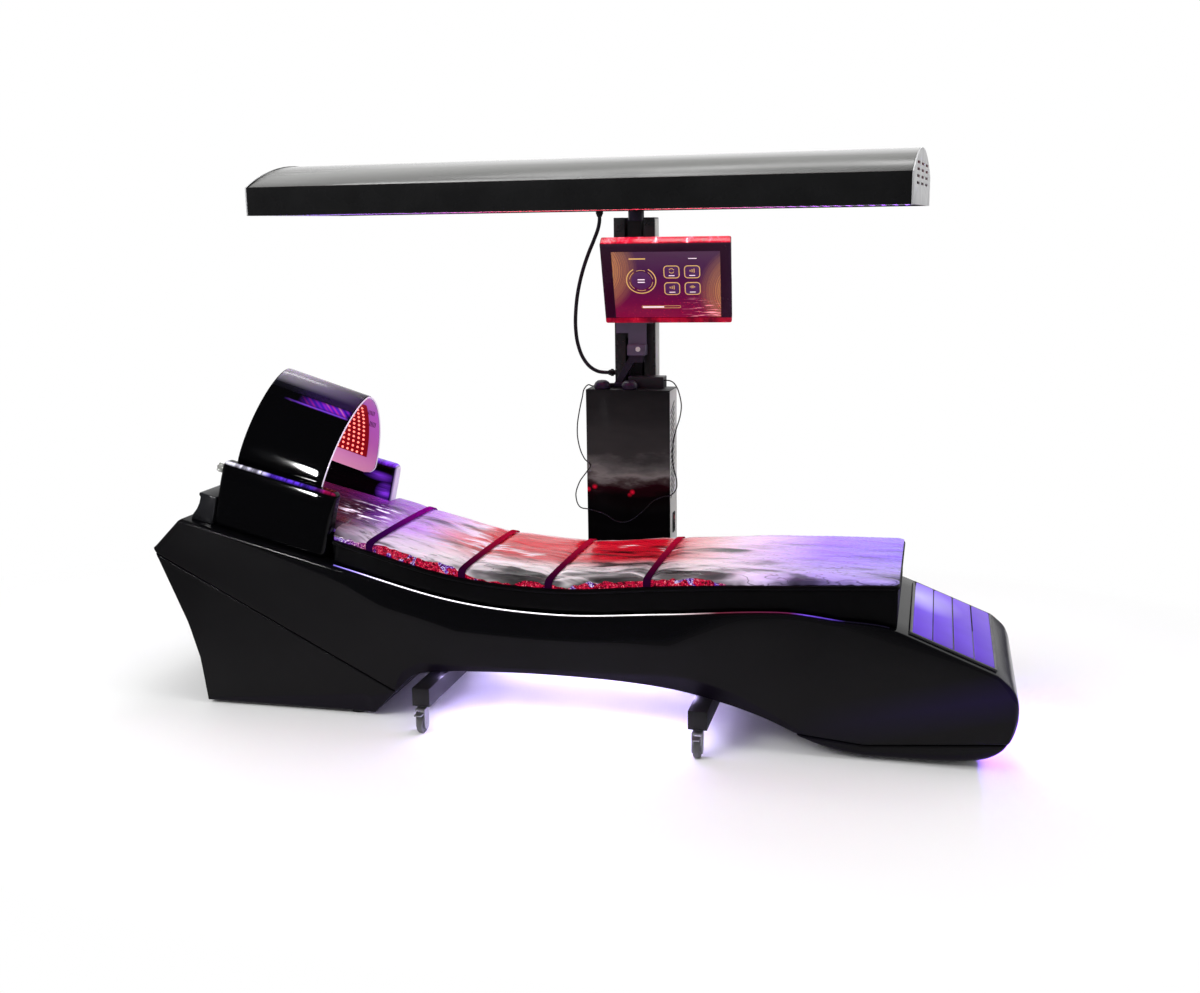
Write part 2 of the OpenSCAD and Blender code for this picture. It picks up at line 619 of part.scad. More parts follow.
module caster_wheel(i) {
    color([0.35, 0.35, 0.36]) at_caster(i) translate([0, -trail, wheel_r]) rotate([0, 90, 0]) difference() {
        rotate_extrude($fn = 64) polygon([[axle_r + run, -wheel_w / 2], [wheel_r - 3, -wheel_w / 2],
            [wheel_r, -wheel_w / 2 + 3], [wheel_r, wheel_w / 2 - 3], [wheel_r - 3, wheel_w / 2],
            [axle_r + run, wheel_w / 2]]);
        for (s = [-1, 1]) translate([0, 0, s * (wheel_w / 2)])
            rotate_extrude() translate([8, -2]) square([9, 4]);
    }
}
module caster_pedal(i) {
    z = wheel_r * 2 + 8;
    color([0.55, 0.56, 0.57]) at_caster(i) difference() {
        union() {
            translate([-cheek + 0.5, -trail - 10, z]) rotate([0, 90, 0]) cylinder(r = 3.5, h = 2 * cheek - 1);
            translate([-cheek + 0.5, -trail - pedal_out, z - 1]) cube([2 * cheek - 1, pedal_out - 11, 4]);
        }
        translate([-cheek, -trail - 10, z]) rotate([0, 90, 0]) cylinder(r = 1.5 + run, h = 2 * cheek);
    }
}
// Tower: base plate, link to the bed, mast and cabinet
base_z = ground_gap + base_t;
base_reach = 240;
base_front = mast_y - base_reach;
base_plate_w = 420;
module base_plate() {
    color([0.12, 0.12, 0.13]) at_bed() translate([tower_x - base_plate_w / 2, base_front, ground_gap])
        cube([base_plate_w, rear_y - base_front, base_t]);
}
column_y = mast_y + mast_d / 2;
module mast() {
    color([0.16, 0.16, 0.17]) at_bed() difference() {
        translate([tower_x - mast_w / 2, mast_y, base_z]) cube([mast_w, mast_d, mast_top - base_z]);
        translate([tower_x - mast_w / 2 + mast_t, mast_y + mast_t, base_z - 1])
            cube([mast_w - 2 * mast_t, mast_d - 2 * mast_t, mast_top]);
        translate([tower_x - slot_w / 2, mast_y - 1, cabinet_top - 200]) cube([slot_w, mast_t + 2, mast_top]);
    }
}
glide_h = 60;
rod_r = 7;
column_z = cabinet_top - 227;
column_top = mast_top - 11;
module inner_column() {
    glide_w = mast_w - 2 * mast_t - 1;
    glide_d = mast_d - 2 * mast_t - 1;
    color([0.22, 0.22, 0.23]) at_bed() union() {
        difference() {
            union() {
                translate([tower_x - column_w / 2, column_y - 25, column_z])
                    cube([column_w, 50, column_top - column_z]);
                for (z = [column_z + 20, mast_top - lift - 15 - glide_h])
                    translate([tower_x - glide_w / 2, column_y - glide_d / 2, z])
                        cube([glide_w, glide_d, glide_h]);
            }
            translate([tower_x - column_w / 2 + 3, column_y - 22, column_z - 1])
                cube([column_w - 6, 44, column_top - column_z - 5]);
        }
        translate([tower_x, column_y, column_z + 20]) cylinder(r = rod_r, h = column_top - column_z - 22);
    }
}
// Actuator that pushes the rod of the inner column
module lift_actuator() {
    top = column_z + lift + 30;
    color([0.55, 0.55, 0.57]) at_bed() translate([tower_x, column_y, base_z]) difference() {
        cylinder(r = 15, h = top - base_z);
        translate([0, 0, column_z - base_z]) cylinder(r = rod_r + run, h = top - column_z + 1);
    }
}
neck_r = 25;
spigot_r = 20;
plate_z = canopy_z + 8;
gland_x = -84;
module neck_head() {
    color([0.15, 0.1, 0.2]) at_bed() difference() {
        union() {
            translate([tower_x - column_w / 2 - 2, column_y - 27, column_top]) cube([column_w + 4, 54, 4]);
            translate([tower_x, column_y, column_top + 2]) cylinder(r = neck_r, h = plate_z - column_top);
            translate([gland_x - 22, column_y - 32, plate_z]) cube([tower_x + 40 - gland_x + 22, 64, 8]);
            translate([tower_x, column_y, plate_z + 7]) cylinder(r = 30, h = 5);
            translate([tower_x, column_y, plate_z + 7]) cylinder(r = spigot_r, h = 58);
        }
        translate([gland_x, column_y, plate_z - 1]) cylinder(r = 8, h = 10);
    }
}
cable_r = 6;
module gland(lower) {
    color([0.1, 0.1, 0.11]) difference() {
        union() {
            cylinder(r = 8, h = 13);
            translate([0, 0, 13]) cylinder(r = 12, h = 8, $fn = 6);
            translate([0, 0, 21]) cylinder(r1 = 10, r2 = 8, h = 8);
            if (lower > 0) translate([0, 0, -1]) cylinder(r = 12, h = 4, $fn = 6);
        }
        translate([0, 0, -2]) cylinder(r = cable_r - 1, h = 27);
        translate([0, 0, 25]) cylinder(r = cable_r + 0.02, h = 6);
    }
}
low_z = 885;
module gland_top() {
    at_bed() translate([gland_x, column_y, plate_z + 8]) rotate([180, 0, 0]) gland(0);
}
module gland_low() {
    at_bed() translate([tower_x - mast_w / 2, column_y, low_z]) rotate([0, -90, 0]) gland(0);
}
// Conduit from the lifting head to the side of the mast, from the upper gland to the lower one
conduit_route = [[-84, 0, 1383], [-84, 0, 1370], [-88, -2, 1345], [-100, -8, 1310], [-118, -16, 1265],
    [-136, -24, 1210], [-150, -30, 1150], [-158, -32, 1090], [-160, -32, 1030], [-153, -30, 975],
    [-138, -24, 932], [-116, -14, 902], [-92, -5, 888], [-72, 0, 885], [-56, 0, 885]];
function along(p, i) = unit(p[min(i + 1, len(p) - 1)] - p[max(i - 1, 0)]);
// Side direction of a ring on the route, square to its tangent, turned from ring to ring
function frame_u(p, i) = let (t = along(p, i), r = [0, 1, 0]) unit(r - (r * t) * t);
function ring(c, t, u, r, n) = let (v = cross(t, u)) [for (k = [0:n - 1])
    c + r * cos(360 * k / n) * u + r * sin(360 * k / n) * v];
function fine(p, n) = smooth(p, n);
function tube(p, r, n, t0, t1) = [for (i = [0:len(p) - 1])
    let (t = i == 0 ? t0 : i == len(p) - 1 ? t1 : along(p, i), u = unit([0, 1, 0] - ([0, 1, 0] * t) * t))
    ring(p[i], t, u, r, n)];
module conduit() {
    route = concat([conduit_route[0]], fine([for (i = [1:len(conduit_route) - 2]) conduit_route[i]], 3),
        [conduit_route[len(conduit_route) - 1]]);
    color([0.05, 0.05, 0.06]) at_bed() translate([0, column_y, 0])
        loft(tube(route, cable_r, 10, [0, 0, -1], [1, 0, 0]));
}
module in_cabinet() {
    at_bed() translate([tower_x - cabinet_w / 2, mast_y - cabinet_d, base_z]) children();
}
cab_h = cabinet_top - base_z;
front_t = 4;
module cabinet_body() {
    d = cabinet_d - front_t;
    color([0.1, 0.1, 0.11]) in_cabinet() translate([0, front_t, 0]) difference() {
        cube([cabinet_w, d, cab_h]);
        translate([sheet_t, -1, sheet_t]) cube([cabinet_w, d + 1 - sheet_t, cab_h - 2 * sheet_t]);
    }
}
module cabinet_front() {
    color([0.02, 0.02, 0.02]) in_cabinet() translate([0, 0, seat])
        cube([cabinet_w, front_t - 0.1, cab_h - seat]);
}
vent_z = [120, 560];
inlet_z = 418;
module cabinet_vent() {
    d = cabinet_d - front_t - sheet_t - 0.4;
    h = cab_h - 2 * sheet_t - 0.4;
    y = front_t + 0.2;
    fan_z = cab_h - 150;
    color([0.75, 0.75, 0.73]) in_cabinet() union() {
        difference() {
            translate([cabinet_w - sheet_t, y, sheet_t + 0.2]) cube([sheet_t, d, h]);
            for (i = [0:15]) translate([cabinet_w, y + d / 2 + 20, cab_h - 40 - 18 * i]) rotate([30, 0, 0])
                translate([-10, -70, 0]) cube([20, 66, 5]);
            for (i = [0:9]) translate([cabinet_w, y + d / 2 + 20, 60 + 18 * i]) rotate([30, 0, 0])
                translate([-10, -70, 0]) cube([20, 66, 5]);
            translate([cabinet_w - 10, cabinet_d / 2 - 13, inlet_z - base_z - 28]) cube([20, 26, 56]);
        }
        difference() {
            translate([cabinet_w - sheet_t - 20, y + d / 2 - 40, fan_z - 40]) cube([20, 80, 80]);
            translate([cabinet_w - sheet_t - 21, y + d / 2, fan_z]) rotate([0, 90, 0])
                cylinder(r = 37, h = 22);
        }
        for (a = [0:3]) translate([cabinet_w - sheet_t - 20, y + d / 2, fan_z]) rotate([90 * a + 45, 0, 0])
            translate([0, -2, 0]) cube([3, 4, 38]);
        translate([cabinet_w - sheet_t - 20, y + d / 2, fan_z]) rotate([0, 90, 0]) cylinder(r = 10, h = 3);
        translate([cabinet_w - sheet_t - 20, y + d / 2, fan_z]) rotate([0, 90, 0]) cylinder(r = 3, h = 16);
    }
}
module fan_rotor() {
    d = cabinet_d - front_t - sheet_t - 0.4;
    color([0.1, 0.1, 0.1]) in_cabinet() translate([cabinet_w - sheet_t - 16, front_t + 0.2 + d / 2, cab_h - 150])
        rotate([0, 90, 0]) difference() {
            union() {
                cylinder(r = 12, h = 12);
                for (i = [0:6]) rotate([0, 0, 360 / 7 * i]) translate([10, 0, 6]) rotate([35, 0, 0])
                    translate([0, -6, -0.8]) cube([24, 12, 1.6]);
            }
            translate([0, 0, -1]) cylinder(r = 3 + run, h = 14);
        }
}
supply_w = 110;
supply_d = 60;
supply_h = 220;
module power_supply() {
    color([0.6, 0.6, 0.6]) in_cabinet() translate([20, cabinet_d - sheet_t - supply_d, sheet_t])
        cube([supply_w, supply_d, supply_h]);
}
// Inlet with rocker on the side of the cabinet
rock_z = 16;
module at_inlet() {
    in_cabinet() translate([cabinet_w, cabinet_d / 2, inlet_z - base_z]) children();
}
module power_inlet() {
    color([0.05, 0.05, 0.05]) at_inlet() difference() {
        union() {
            translate([0, -16, -32]) cube([2.5, 32, 64]);
            translate([-24, -12.8, -27.8]) cube([24.5, 25.6, 55.6]);
        }
        translate([-19, -9.5, -24]) cube([22, 19, 22]);
        translate([-14, -7, rock_z - 11]) cube([18, 14, 22]);
        translate([-4, -9, rock_z]) rotate([-90, 0, 0]) cylinder(r = 1.5 + run, h = 18);
    }
}
module rocker_switch() {
    color([0.5, 0.05, 0.05]) at_inlet() translate([-4, 0, rock_z]) rotate([0, -10, 0]) union() {
        difference() {
            rotate([-90, 0, 0]) translate([0, 0, -6.5]) cylinder(r = 10, h = 13);
            translate([6, -8, -12]) cube([10, 16, 24]);
            translate([-16, -8, -12]) cube([10, 16, 24]);
        }
        rotate([-90, 0, 0]) translate([0, 0, -8.5]) cylinder(r = 1.5, h = 17);
    }
}
// Things that lie on the cabinet
module media_box() {
    color([0.15, 0.13, 0.16]) in_cabinet() translate([cabinet_w / 2 + pivot_x - tower_x - 25, 54, cab_h])
        cube([114, 52, 36]);
}
cup_r = 26;
cup_y = cup_r + 1;
cup_x = [47, 137];
module headphones() {
    gap = (cup_x[1] - cup_x[0]) / 2;
    sag = 28;
    band = (gap * gap + sag * sag) / (2 * sag);
    turn = asin(gap / band);
    color([0.1, 0.06, 0.14]) in_cabinet() translate([0, 0, cab_h]) union() {
        for (x = cup_x) translate([x, cup_y, 0]) rotate_extrude()
            polygon([[0, 0], [cup_r - 3, 0], [cup_r, 4], [cup_r, 12], [cup_r - 4, 20], [cup_r - 12, 26],
                [0, 28]]);
        translate([cup_x[0] + gap, cup_y + sag - band, 6]) rotate([0, 0, 90 - turn])
            rotate_extrude(angle = 2 * turn, $fn = 96) translate([band - 2.5, 0]) square([5, 9]);
    }
}
// Cord from the media box round the front of the cabinet to the first cup
audio_route = [[239, 62, 872], [252, 62, 872], [268, 52, 869], [285, 36, 855], [298, 20, 830],
    [306, 4, 800], [303, -4, 766], [290, -8, 722], [282, -8, 680], [279, -8, 647], [285, -8, 600],
    [293, -8, 568], [291, -8, 537], [276, -8, 519], [250, -8, 512], [223, -8, 500], [178, -8, 457],
    [135, -8, 427], [109, -8, 424], [53, -8, 450], [3, -8, 462], [-22, -8, 467], [-36, -8, 500],
    [-25, -8, 546], [4, -8, 588], [14, -8, 604], [-4, -8, 624], [-26, -8, 686], [-27, -8, 734],
    [-21, -6, 775], [-12, 0, 820], [-6, 12, 850], [4, 22, 859], [14, 27, 855], [21, 27, 855]];
// The route moves with the side of the cabinet, and its start half as far, with the media box
function route_share(x) = x < 60 ? 0 : x < 239 ? (x - 60) / 358 : min(1, 0.5 + (x - 239) / 60);
audio_points = [for (p = audio_route) p + [(cabinet_w - 270) * route_share(p[0]), 0, 0]];
module audio_cord() {
    route = concat([audio_points[0]], fine([for (i = [1:len(audio_points) - 2]) audio_points[i]], 2),
        [audio_points[len(audio_points) - 1]]);
    color([0.08, 0.08, 0.08]) in_cabinet() translate([0, 0, -base_z])
        loft(tube(route, 1.6, 8, [1, 0, 0], [1, 0, 0]));
}
// Monitor: bracket on the cabinet, swivelling arm, tilting screen
pivot_x = tower_x + 15;
pivot_y = mast_y - 32;
pivot_z = cabinet_top + 102;
tilt_x = tower_x + 127;
tilt_y = mast_y - 90;
tilt_z = pivot_z + 258;
foot_w = 80;
arm_w = 58;
arm_d = 34;
arm_h = 32;
arm_t = 8;
plate_out = 68;
plate_h = 82;
pivot_r = 8;
module monitor_bracket() {
    color([0.12, 0.1, 0.14]) at_bed() union() {
        translate([pivot_x - foot_w - 30, pivot_y - 22, cabinet_top]) cube([foot_w, 48, 6]);
        translate([0, pivot_y + 10, 0]) rotate([90, 0, 0]) linear_extrude(20)
            polygon([[pivot_x - foot_w, cabinet_top + 3], [pivot_x - 56, cabinet_top + 3],
                [pivot_x - 3, pivot_z - 12], [pivot_x - 21, pivot_z - 1]]);
        translate([pivot_x - 21, pivot_y - 18, pivot_z - 22]) cube([42, 36, 22]);
        translate([pivot_x, pivot_y, pivot_z - 4]) cylinder(r = pivot_r, h = arm_h + 2);
    }
}
module monitor_arm() {
    color([0.28, 0.22, 0.34]) at_bed() difference() {
        union() {
            translate([pivot_x - arm_w / 2, pivot_y - arm_d / 2, pivot_z + 0.5]) cube([arm_w, arm_d, arm_h]);
            translate([pivot_x - arm_w / 2, pivot_y, pivot_z + 20]) cube([arm_w, arm_t, 60]);
            translate([pivot_x - plate_out, pivot_y, pivot_z + 69])
                cube([plate_out + arm_w / 2, arm_t, plate_h]);
            translate([pivot_x - 10, pivot_y, pivot_z + 69 + plate_h - 51])
                cube([arm_w + 2, arm_t, tilt_z - pivot_z - 85]);
            translate([pivot_x + 20, pivot_y, tilt_z - 15]) cube([tilt_x - pivot_x + 5, arm_t, 30]);
            translate([tilt_x, tilt_y, tilt_z]) rotate([0, 0, monitor_yaw]) {
                translate([-15, 0, -11]) cube([30, pivot_y - tilt_y + 4, 22]);
                translate([-15, 0, 0]) rotate([0, 90, 0]) cylinder(r = 11, h = 30);
            }
        }
        translate([pivot_x, pivot_y, pivot_z]) cylinder(r = pivot_r + run, h = arm_h - 1);
        translate([tilt_x, tilt_y, tilt_z]) rotate([0, 0, monitor_yaw]) translate([-16, 0, 0])
            rotate([0, 90, 0]) cylinder(r = 5 + run, h = 32);
    }
}
module in_monitor() {
    at_bed() translate([tilt_x, tilt_y, tilt_z]) rotate([0, 0, monitor_yaw]) rotate([monitor_lean, 0, 0])
        children();
}
monitor_back = -tilt_gap;
monitor_front = -tilt_gap - monitor_d;
module monitor_housing() {
    color([0.12, 0.02, 0.08]) in_monitor() difference() {
        union() {
            translate([-monitor_w / 2, monitor_front, -monitor_h / 2])
                cube([monitor_w, monitor_d, monitor_h]);
            for (s = [-1, 1]) translate([s * 19 - 3, 0, 0]) {
                translate([0, monitor_back - 1, -9]) cube([6, tilt_gap + 1, 18]);
                rotate([0, 90, 0]) cylinder(r = 9, h = 6);
            }
            translate([-22, 0, 0]) rotate([0, 90, 0]) cylinder(r = 5, h = 44);
        }
        translate([-display_w / 2, monitor_front - 1, -display_h / 2 - 6]) cube([display_w, 5, display_h]);
        translate([-monitor_w / 2 + 8, monitor_front + 7, -monitor_h / 2 + 8])
            cube([monitor_w - 16, monitor_d - 10, monitor_h - 16]);
    }
}
module monitor_screen() {
    color([0.35, 0.1, 0.3]) in_monitor() translate([-display_w / 2 + 0.4, monitor_front + 1, -display_h / 2 - 5.6])
        cube([display_w - 0.8, 2.8, display_h - 0.8]);
}
// Canopy: arm on the mast head, ladder frame, dome, end caps, lamps and lens
reach = column_y;
module on_spigot() {
    at_bed() translate([tower_x, column_y, 0]) rotate([0, 0, canopy_yaw]) children();
}
module in_canopy() {
    on_spigot() translate([canopy_shift, -reach, canopy_z]) children();
}
hub_z = plate_z + 12.2;
hub_h = 48;
cross_w = 50;
cross_h = 40;
module canopy_arm() {
    rear = -(reach - canopy_w / 2);
    color([0.13, 0.13, 0.14]) on_spigot() difference() {
        union() {
            translate([0, 0, hub_z]) cylinder(r = 36, h = hub_h);
            difference() {
                translate([-cross_w / 2, rear + 5, hub_z + 2]) cube([cross_w, -rear - 35, cross_h]);
                translate([3 - cross_w / 2, rear + 6, hub_z + 5])
                    cube([cross_w - 6, -rear - 70, cross_h - 6]);
            }
            translate([canopy_shift - 110, rear, canopy_z + 8]) cube([220, 6, 58]);
        }
        translate([0, 0, hub_z - 1]) cylinder(r = spigot_r + run, h = 60);
    }
}
inner_len = canopy_len - 8;
module canopy_frame() {
    w = canopy_w;
    color([0.05, 0.05, 0.055]) in_canopy() union() {
        for (s = [-1, 1]) {
            translate([-inner_len / 2, s * (w / 2 - canopy_t / 2) - canopy_t / 2, 0])
                cube([inner_len, canopy_t, fascia_h]);
            translate([-inner_len / 2, s * (w / 2 - 9) - 9, 0]) cube([inner_len, 18, canopy_t]);
            translate([-inner_len / 2, s * (w / 2 - 9) - 9, 22]) cube([inner_len, 18, canopy_t]);
        }
        for (i = [-2:2]) translate([i * (inner_len - 40) / 4 - 15, -w / 2 + 1, 22]) cube([30, w - 2, 24]);
    }
}
dome_c = canopy_w / 2 - 2;
dome_r = (dome_c * dome_c + dome_h * dome_h) / (2 * dome_h);
module dome_side(r, grow) {
    rotate([0, 90, 0]) cylinder(r = r, h = inner_len + grow, center = true, $fn = 180);
}
module canopy_dome() {
    color([0.7, 0.7, 0.7]) in_canopy() intersection() {
        translate([0, 0, fascia_h + dome_h - dome_r]) difference() {
            dome_side(dome_r, 0);
            dome_side(dome_r - canopy_t, 10);
        }
        translate([-inner_len / 2, -canopy_w / 2, fascia_h]) cube([inner_len, canopy_w, dome_h + 10]);
    }
}
module canopy_end_caps() {
    color([0.72, 0.72, 0.74]) in_canopy() for (s = [-1, 1]) difference() {
        union() {
            translate([s * (canopy_len / 2 - 2) - 2, -canopy_w / 2, 0]) cube([4, canopy_w, fascia_h]);
            intersection() {
                translate([s * (canopy_len / 2 - 2), 0, fascia_h + dome_h - dome_r]) rotate([0, 90, 0])
                    cylinder(r = dome_r, h = 4, center = true, $fn = 180);
                translate([s * (canopy_len / 2 - 2) - 2, -canopy_w / 2, fascia_h - 0.5])
                    cube([4, canopy_w, dome_h + 10]);
            }
        }
        for (y = [-1, 0, 1]) for (k = [0:3]) translate([s * canopy_len / 2 - 6, y * 130 - 40, 48 + 16 * k])
            cube([12, 80, 6]);
    }
}
module canopy_led_boards() {
    n = 5;
    w = (inner_len - 20) / n;
    color([0.85, 0.85, 0.85]) in_canopy() for (i = [0:n - 1])
        translate([-inner_len / 2 + 10 + i * w + 1, -canopy_w / 2 + 22, 18]) cube([w - 2, canopy_w - 44, 4]);
}
module canopy_lens() {
    color([0.9, 0.8, 1, 0.4]) in_canopy() translate([-inner_len / 2 + 1, -canopy_w / 2 + canopy_t + 1, canopy_t])
        cube([inner_len - 2, canopy_w - 2 * canopy_t - 2, 3]);
}
main_shell();
head_plinth();
foot_skirt();
chassis();
floor_frame();
level_feet();
light_strips();
tile_frame();
foot_tiles();
head_cowl();
mattress_base();
mattress_pad();
film_cover();
straps();
wing_near();
wing_far();
hood_shell();
hood_liner();
hood_leds();
hood_pins();
hood_knob_near();
hood_knob_far();
base_plate();
mast();
lift_actuator();
cabinet_body();
cabinet_front();
cabinet_vent();
power_supply();
fan_rotor();
power_inlet();
rocker_switch();
media_box();
headphones();
audio_cord();
monitor_bracket();
monitor_arm();
monitor_housing();
monitor_screen();
inner_column();
neck_head();
gland_top();
gland_low();
conduit();
canopy_arm();
canopy_frame();
canopy_dome();
canopy_end_caps();
canopy_led_boards();
canopy_lens();
caster_fork(0);  // caster_1_fork
caster_wheel(0);  // caster_1_wheel
caster_pedal(0);  // caster_1_pedal
caster_fork(1);  // caster_2_fork
caster_wheel(1);  // caster_2_wheel
caster_pedal(1);  // caster_2_pedal
caster_fork(2);  // caster_3_fork
caster_wheel(2);  // caster_3_wheel
caster_fork(3);  // caster_4_fork
caster_wheel(3);  // caster_4_wheel
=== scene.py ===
# %% [markdown]
# # A light therapy bed, dressed piece by piece
#
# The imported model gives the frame: every rigid part at its real size, and the bodies that move.
# This lesson puts the looks on it. Lengths are in metres, in the frame's own axes:
# X runs along the bed from head to foot, Y away from the open side, Z up.

# %% Load the frame
import json
import math
import bmesh
import bpy
import numpy as np
from mathutils import Matrix, Vector
from mathutils.bvhtree import BVHTree

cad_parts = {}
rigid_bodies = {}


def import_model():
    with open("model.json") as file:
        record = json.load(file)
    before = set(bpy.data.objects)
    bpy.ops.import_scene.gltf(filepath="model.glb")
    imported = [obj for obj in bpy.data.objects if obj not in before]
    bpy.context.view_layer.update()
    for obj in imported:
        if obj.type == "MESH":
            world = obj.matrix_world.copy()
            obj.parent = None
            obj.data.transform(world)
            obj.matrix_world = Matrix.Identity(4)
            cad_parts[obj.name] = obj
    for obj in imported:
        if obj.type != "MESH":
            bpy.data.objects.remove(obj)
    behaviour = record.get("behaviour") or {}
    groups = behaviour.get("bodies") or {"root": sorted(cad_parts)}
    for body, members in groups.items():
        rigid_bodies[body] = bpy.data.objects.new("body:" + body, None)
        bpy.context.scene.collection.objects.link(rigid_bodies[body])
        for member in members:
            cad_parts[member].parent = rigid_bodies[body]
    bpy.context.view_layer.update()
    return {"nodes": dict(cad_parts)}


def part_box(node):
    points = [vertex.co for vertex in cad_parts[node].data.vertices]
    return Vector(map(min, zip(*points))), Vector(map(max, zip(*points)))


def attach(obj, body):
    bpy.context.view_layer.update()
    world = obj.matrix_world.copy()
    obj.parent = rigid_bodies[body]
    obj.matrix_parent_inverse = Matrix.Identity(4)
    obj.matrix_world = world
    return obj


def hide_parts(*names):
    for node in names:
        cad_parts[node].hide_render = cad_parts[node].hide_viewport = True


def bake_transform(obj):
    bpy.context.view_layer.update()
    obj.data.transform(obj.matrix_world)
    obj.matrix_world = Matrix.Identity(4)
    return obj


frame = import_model()
scene = bpy.context.scene
nodes = frame["nodes"]

# %% [markdown]
# ## The camera
#
# A real camera is three facts: where it stands, where it looks and how long its lens is.
# They could be found by dragging a viewport camera about, but the long edges of the bed and
# the upright mast give vanishing points, and those fix pitch, turn and roll as plain angles.
# So the camera is built from its angles, and the matrix is worked out from them.

# %% Camera
eye = Vector((0.9623, -3.5918, 1.3612))
pitch, turn, roll = math.radians(12.11), math.radians(14.78), math.radians(-0.83)
look = Vector((-math.sin(turn) * math.cos(pitch), math.cos(turn) * math.cos(pitch), -math.sin(pitch)))
level = Vector((math.cos(turn), math.sin(turn), 0))
rise = level.cross(look)
right = level * math.cos(roll) + rise * math.sin(roll)
up = rise * math.cos(roll) - level * math.sin(roll)
camera = bpy.data.objects.new("camera", bpy.data.cameras.new("camera"))
camera.data.sensor_width = 36
camera.data.lens = 36 * 1277 / 1200
camera.data.clip_end = 60
camera.matrix_world = Matrix.Translation(eye) @ Matrix((right, up, -look)).transposed().to_4x4()
scene.collection.objects.link(camera)
scene.camera = camera
print("lens", round(camera.data.lens, 2), "mm")

# %% [markdown]
# ## Places taken from the frame
#
# Every piece below sits on something that the frame already holds, so the places come from
# the boxes of its nodes: the middle of the bed, the mast, the cabinet and the lamp canopy.

# %% Places
shell_lo, shell_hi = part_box("main_shell")
BED_Y = (shell_lo.y + shell_hi.y) / 2
HALF_LEN = (shell_hi.x - shell_lo.x) / 2
HALF_WIDTH = 0.270
BACK_TILT, FOOT_TILT = math.radians(13.9016), math.radians(21.6746)
quarter = math.pi / 2
mast_lo, mast_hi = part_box("mast")
MAST_Y = (mast_lo.y + mast_hi.y) / 2
cab_lo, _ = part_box("cabinet_front")
_, cab_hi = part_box("cabinet_body")
print("bed middle", round(BED_Y, 4), "mast", round(MAST_Y, 4))

# %% [markdown]
# ## Helpers for surfaces
#
# Almost every piece is a grid of points: a profile carried along a path, or a height worked out
# over a rectangle. One helper turns such a grid into a mesh, and one hangs it on its body.

# %% Surface helpers
def hang(obj, body, slot, look, *replaced):
    """Gives a piece its finish and its body, and hides the plain solids it stands for. The slot is not used.
    """
    obj.data.materials.clear()
    obj.data.materials.append(look.mat)
    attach(obj, body)
    if replaced:
        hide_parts(*replaced)
    print(obj.name, len(obj.data.polygons))
    return obj


def place(name, mesh):
    """A new object in the scene."""
    obj = bpy.data.objects.new(name, mesh)
    scene.collection.objects.link(obj)
    return obj


def mesh_object(name, corners, faces, smooth=30):
    """A mesh of points and faces, shaded smooth except where faces meet at more than the given angle."""
    mesh = bpy.data.meshes.new(name)
    mesh.from_pydata(np.asarray(corners).reshape(-1, 3).tolist(), [], faces)
    mesh.validate()
    mesh.shade_smooth()
    mesh.set_sharp_from_angle(angle=math.radians(smooth))
    return place(name, mesh)


def grid_faces(rows, cols, around=False, caps=False, start=0):
    """Quads between neighbours of a grid; around joins last column and first, caps close both end rows."""
    index = start + np.arange(rows * cols).reshape(rows, cols)
    nxt = np.roll(index, -1, 1) if around else index[:, 1:]
    cur = index if around else index[:, :-1]
    quads = np.stack([cur[:-1], nxt[:-1], nxt[1:], cur[1:]], -1).reshape(-1, 4).tolist()
    return quads + ([index[0, ::-1].tolist(), index[-1].tolist()] if caps else [])


def surface(name, grid, around=False, caps=False, smooth=30, flip=False):
    """A piece from a (rows, columns, 3) grid of points."""
    faces = grid_faces(*grid.shape[:2], around, caps)
    return mesh_object(name, grid, [f[::-1] for f in faces] if flip else faces, smooth)


def join(name, pieces):
    """Several meshes made one piece."""
    bm = bmesh.new()
    for p in pieces:
        bm.from_mesh(p.data)
    mesh = bpy.data.meshes.new(name)
    bm.to_mesh(mesh)
    bm.free()
    for p in pieces:
        bpy.data.objects.remove(p)
    return place(name, mesh)


def weld(mesh, distance, change=None):
    """Merges the points of a mesh that lie closer than the distance, then makes a further change."""
    bm = bmesh.new()
    bm.from_mesh(mesh)
    bmesh.ops.remove_doubles(bm, verts=bm.verts, dist=distance)
    if change:
        change(bm)
    bm.to_mesh(mesh)
    bm.free()


def corners_of(obj):
    """The points of a mesh as a (count, 3) array."""
    co = np.empty(len(obj.data.vertices) * 3, np.float32)
    obj.data.vertices.foreach_get("co", co)
    return co.reshape(-1, 3)


def mark(obj, name, values, kind="FLOAT"):
    """Stores a number or a vector for each point, which the finish can read."""
    made = obj.data.attributes.new(name, kind, "POINT")
    made.data.foreach_set("value" if kind == "FLOAT" else "vector", np.asarray(values, np.float32).ravel())


def settle(obj, matrix):
    """Moves the mesh itself, so that the object stays at the origin."""
    obj.data.transform(matrix)
    obj.data.update()
    return obj


def keep_place(obj, matrix):
    """Stores the local coordinates as a vector attribute, then moves the mesh to its frame."""
    mark(obj, "place", corners_of(obj), "FLOAT_VECTOR")
    return settle(obj, matrix)


def points(x, y, z):
    """Points from their coordinates; a coordinate may be one number."""
    return np.stack(np.broadcast_arrays(x, y, z), -1)


def unit(v):
    """Vectors drawn to length one."""
    return v / np.linalg.norm(v, axis=-1, keepdims=True)


def cut_in(d, r):
    """How far a rounded corner of radius r steps in, at the distance d from the end."""
    return np.where(d < r, r - np.sqrt(np.maximum(r * r - (r - np.maximum(d, 0))**2, 0)), 0)


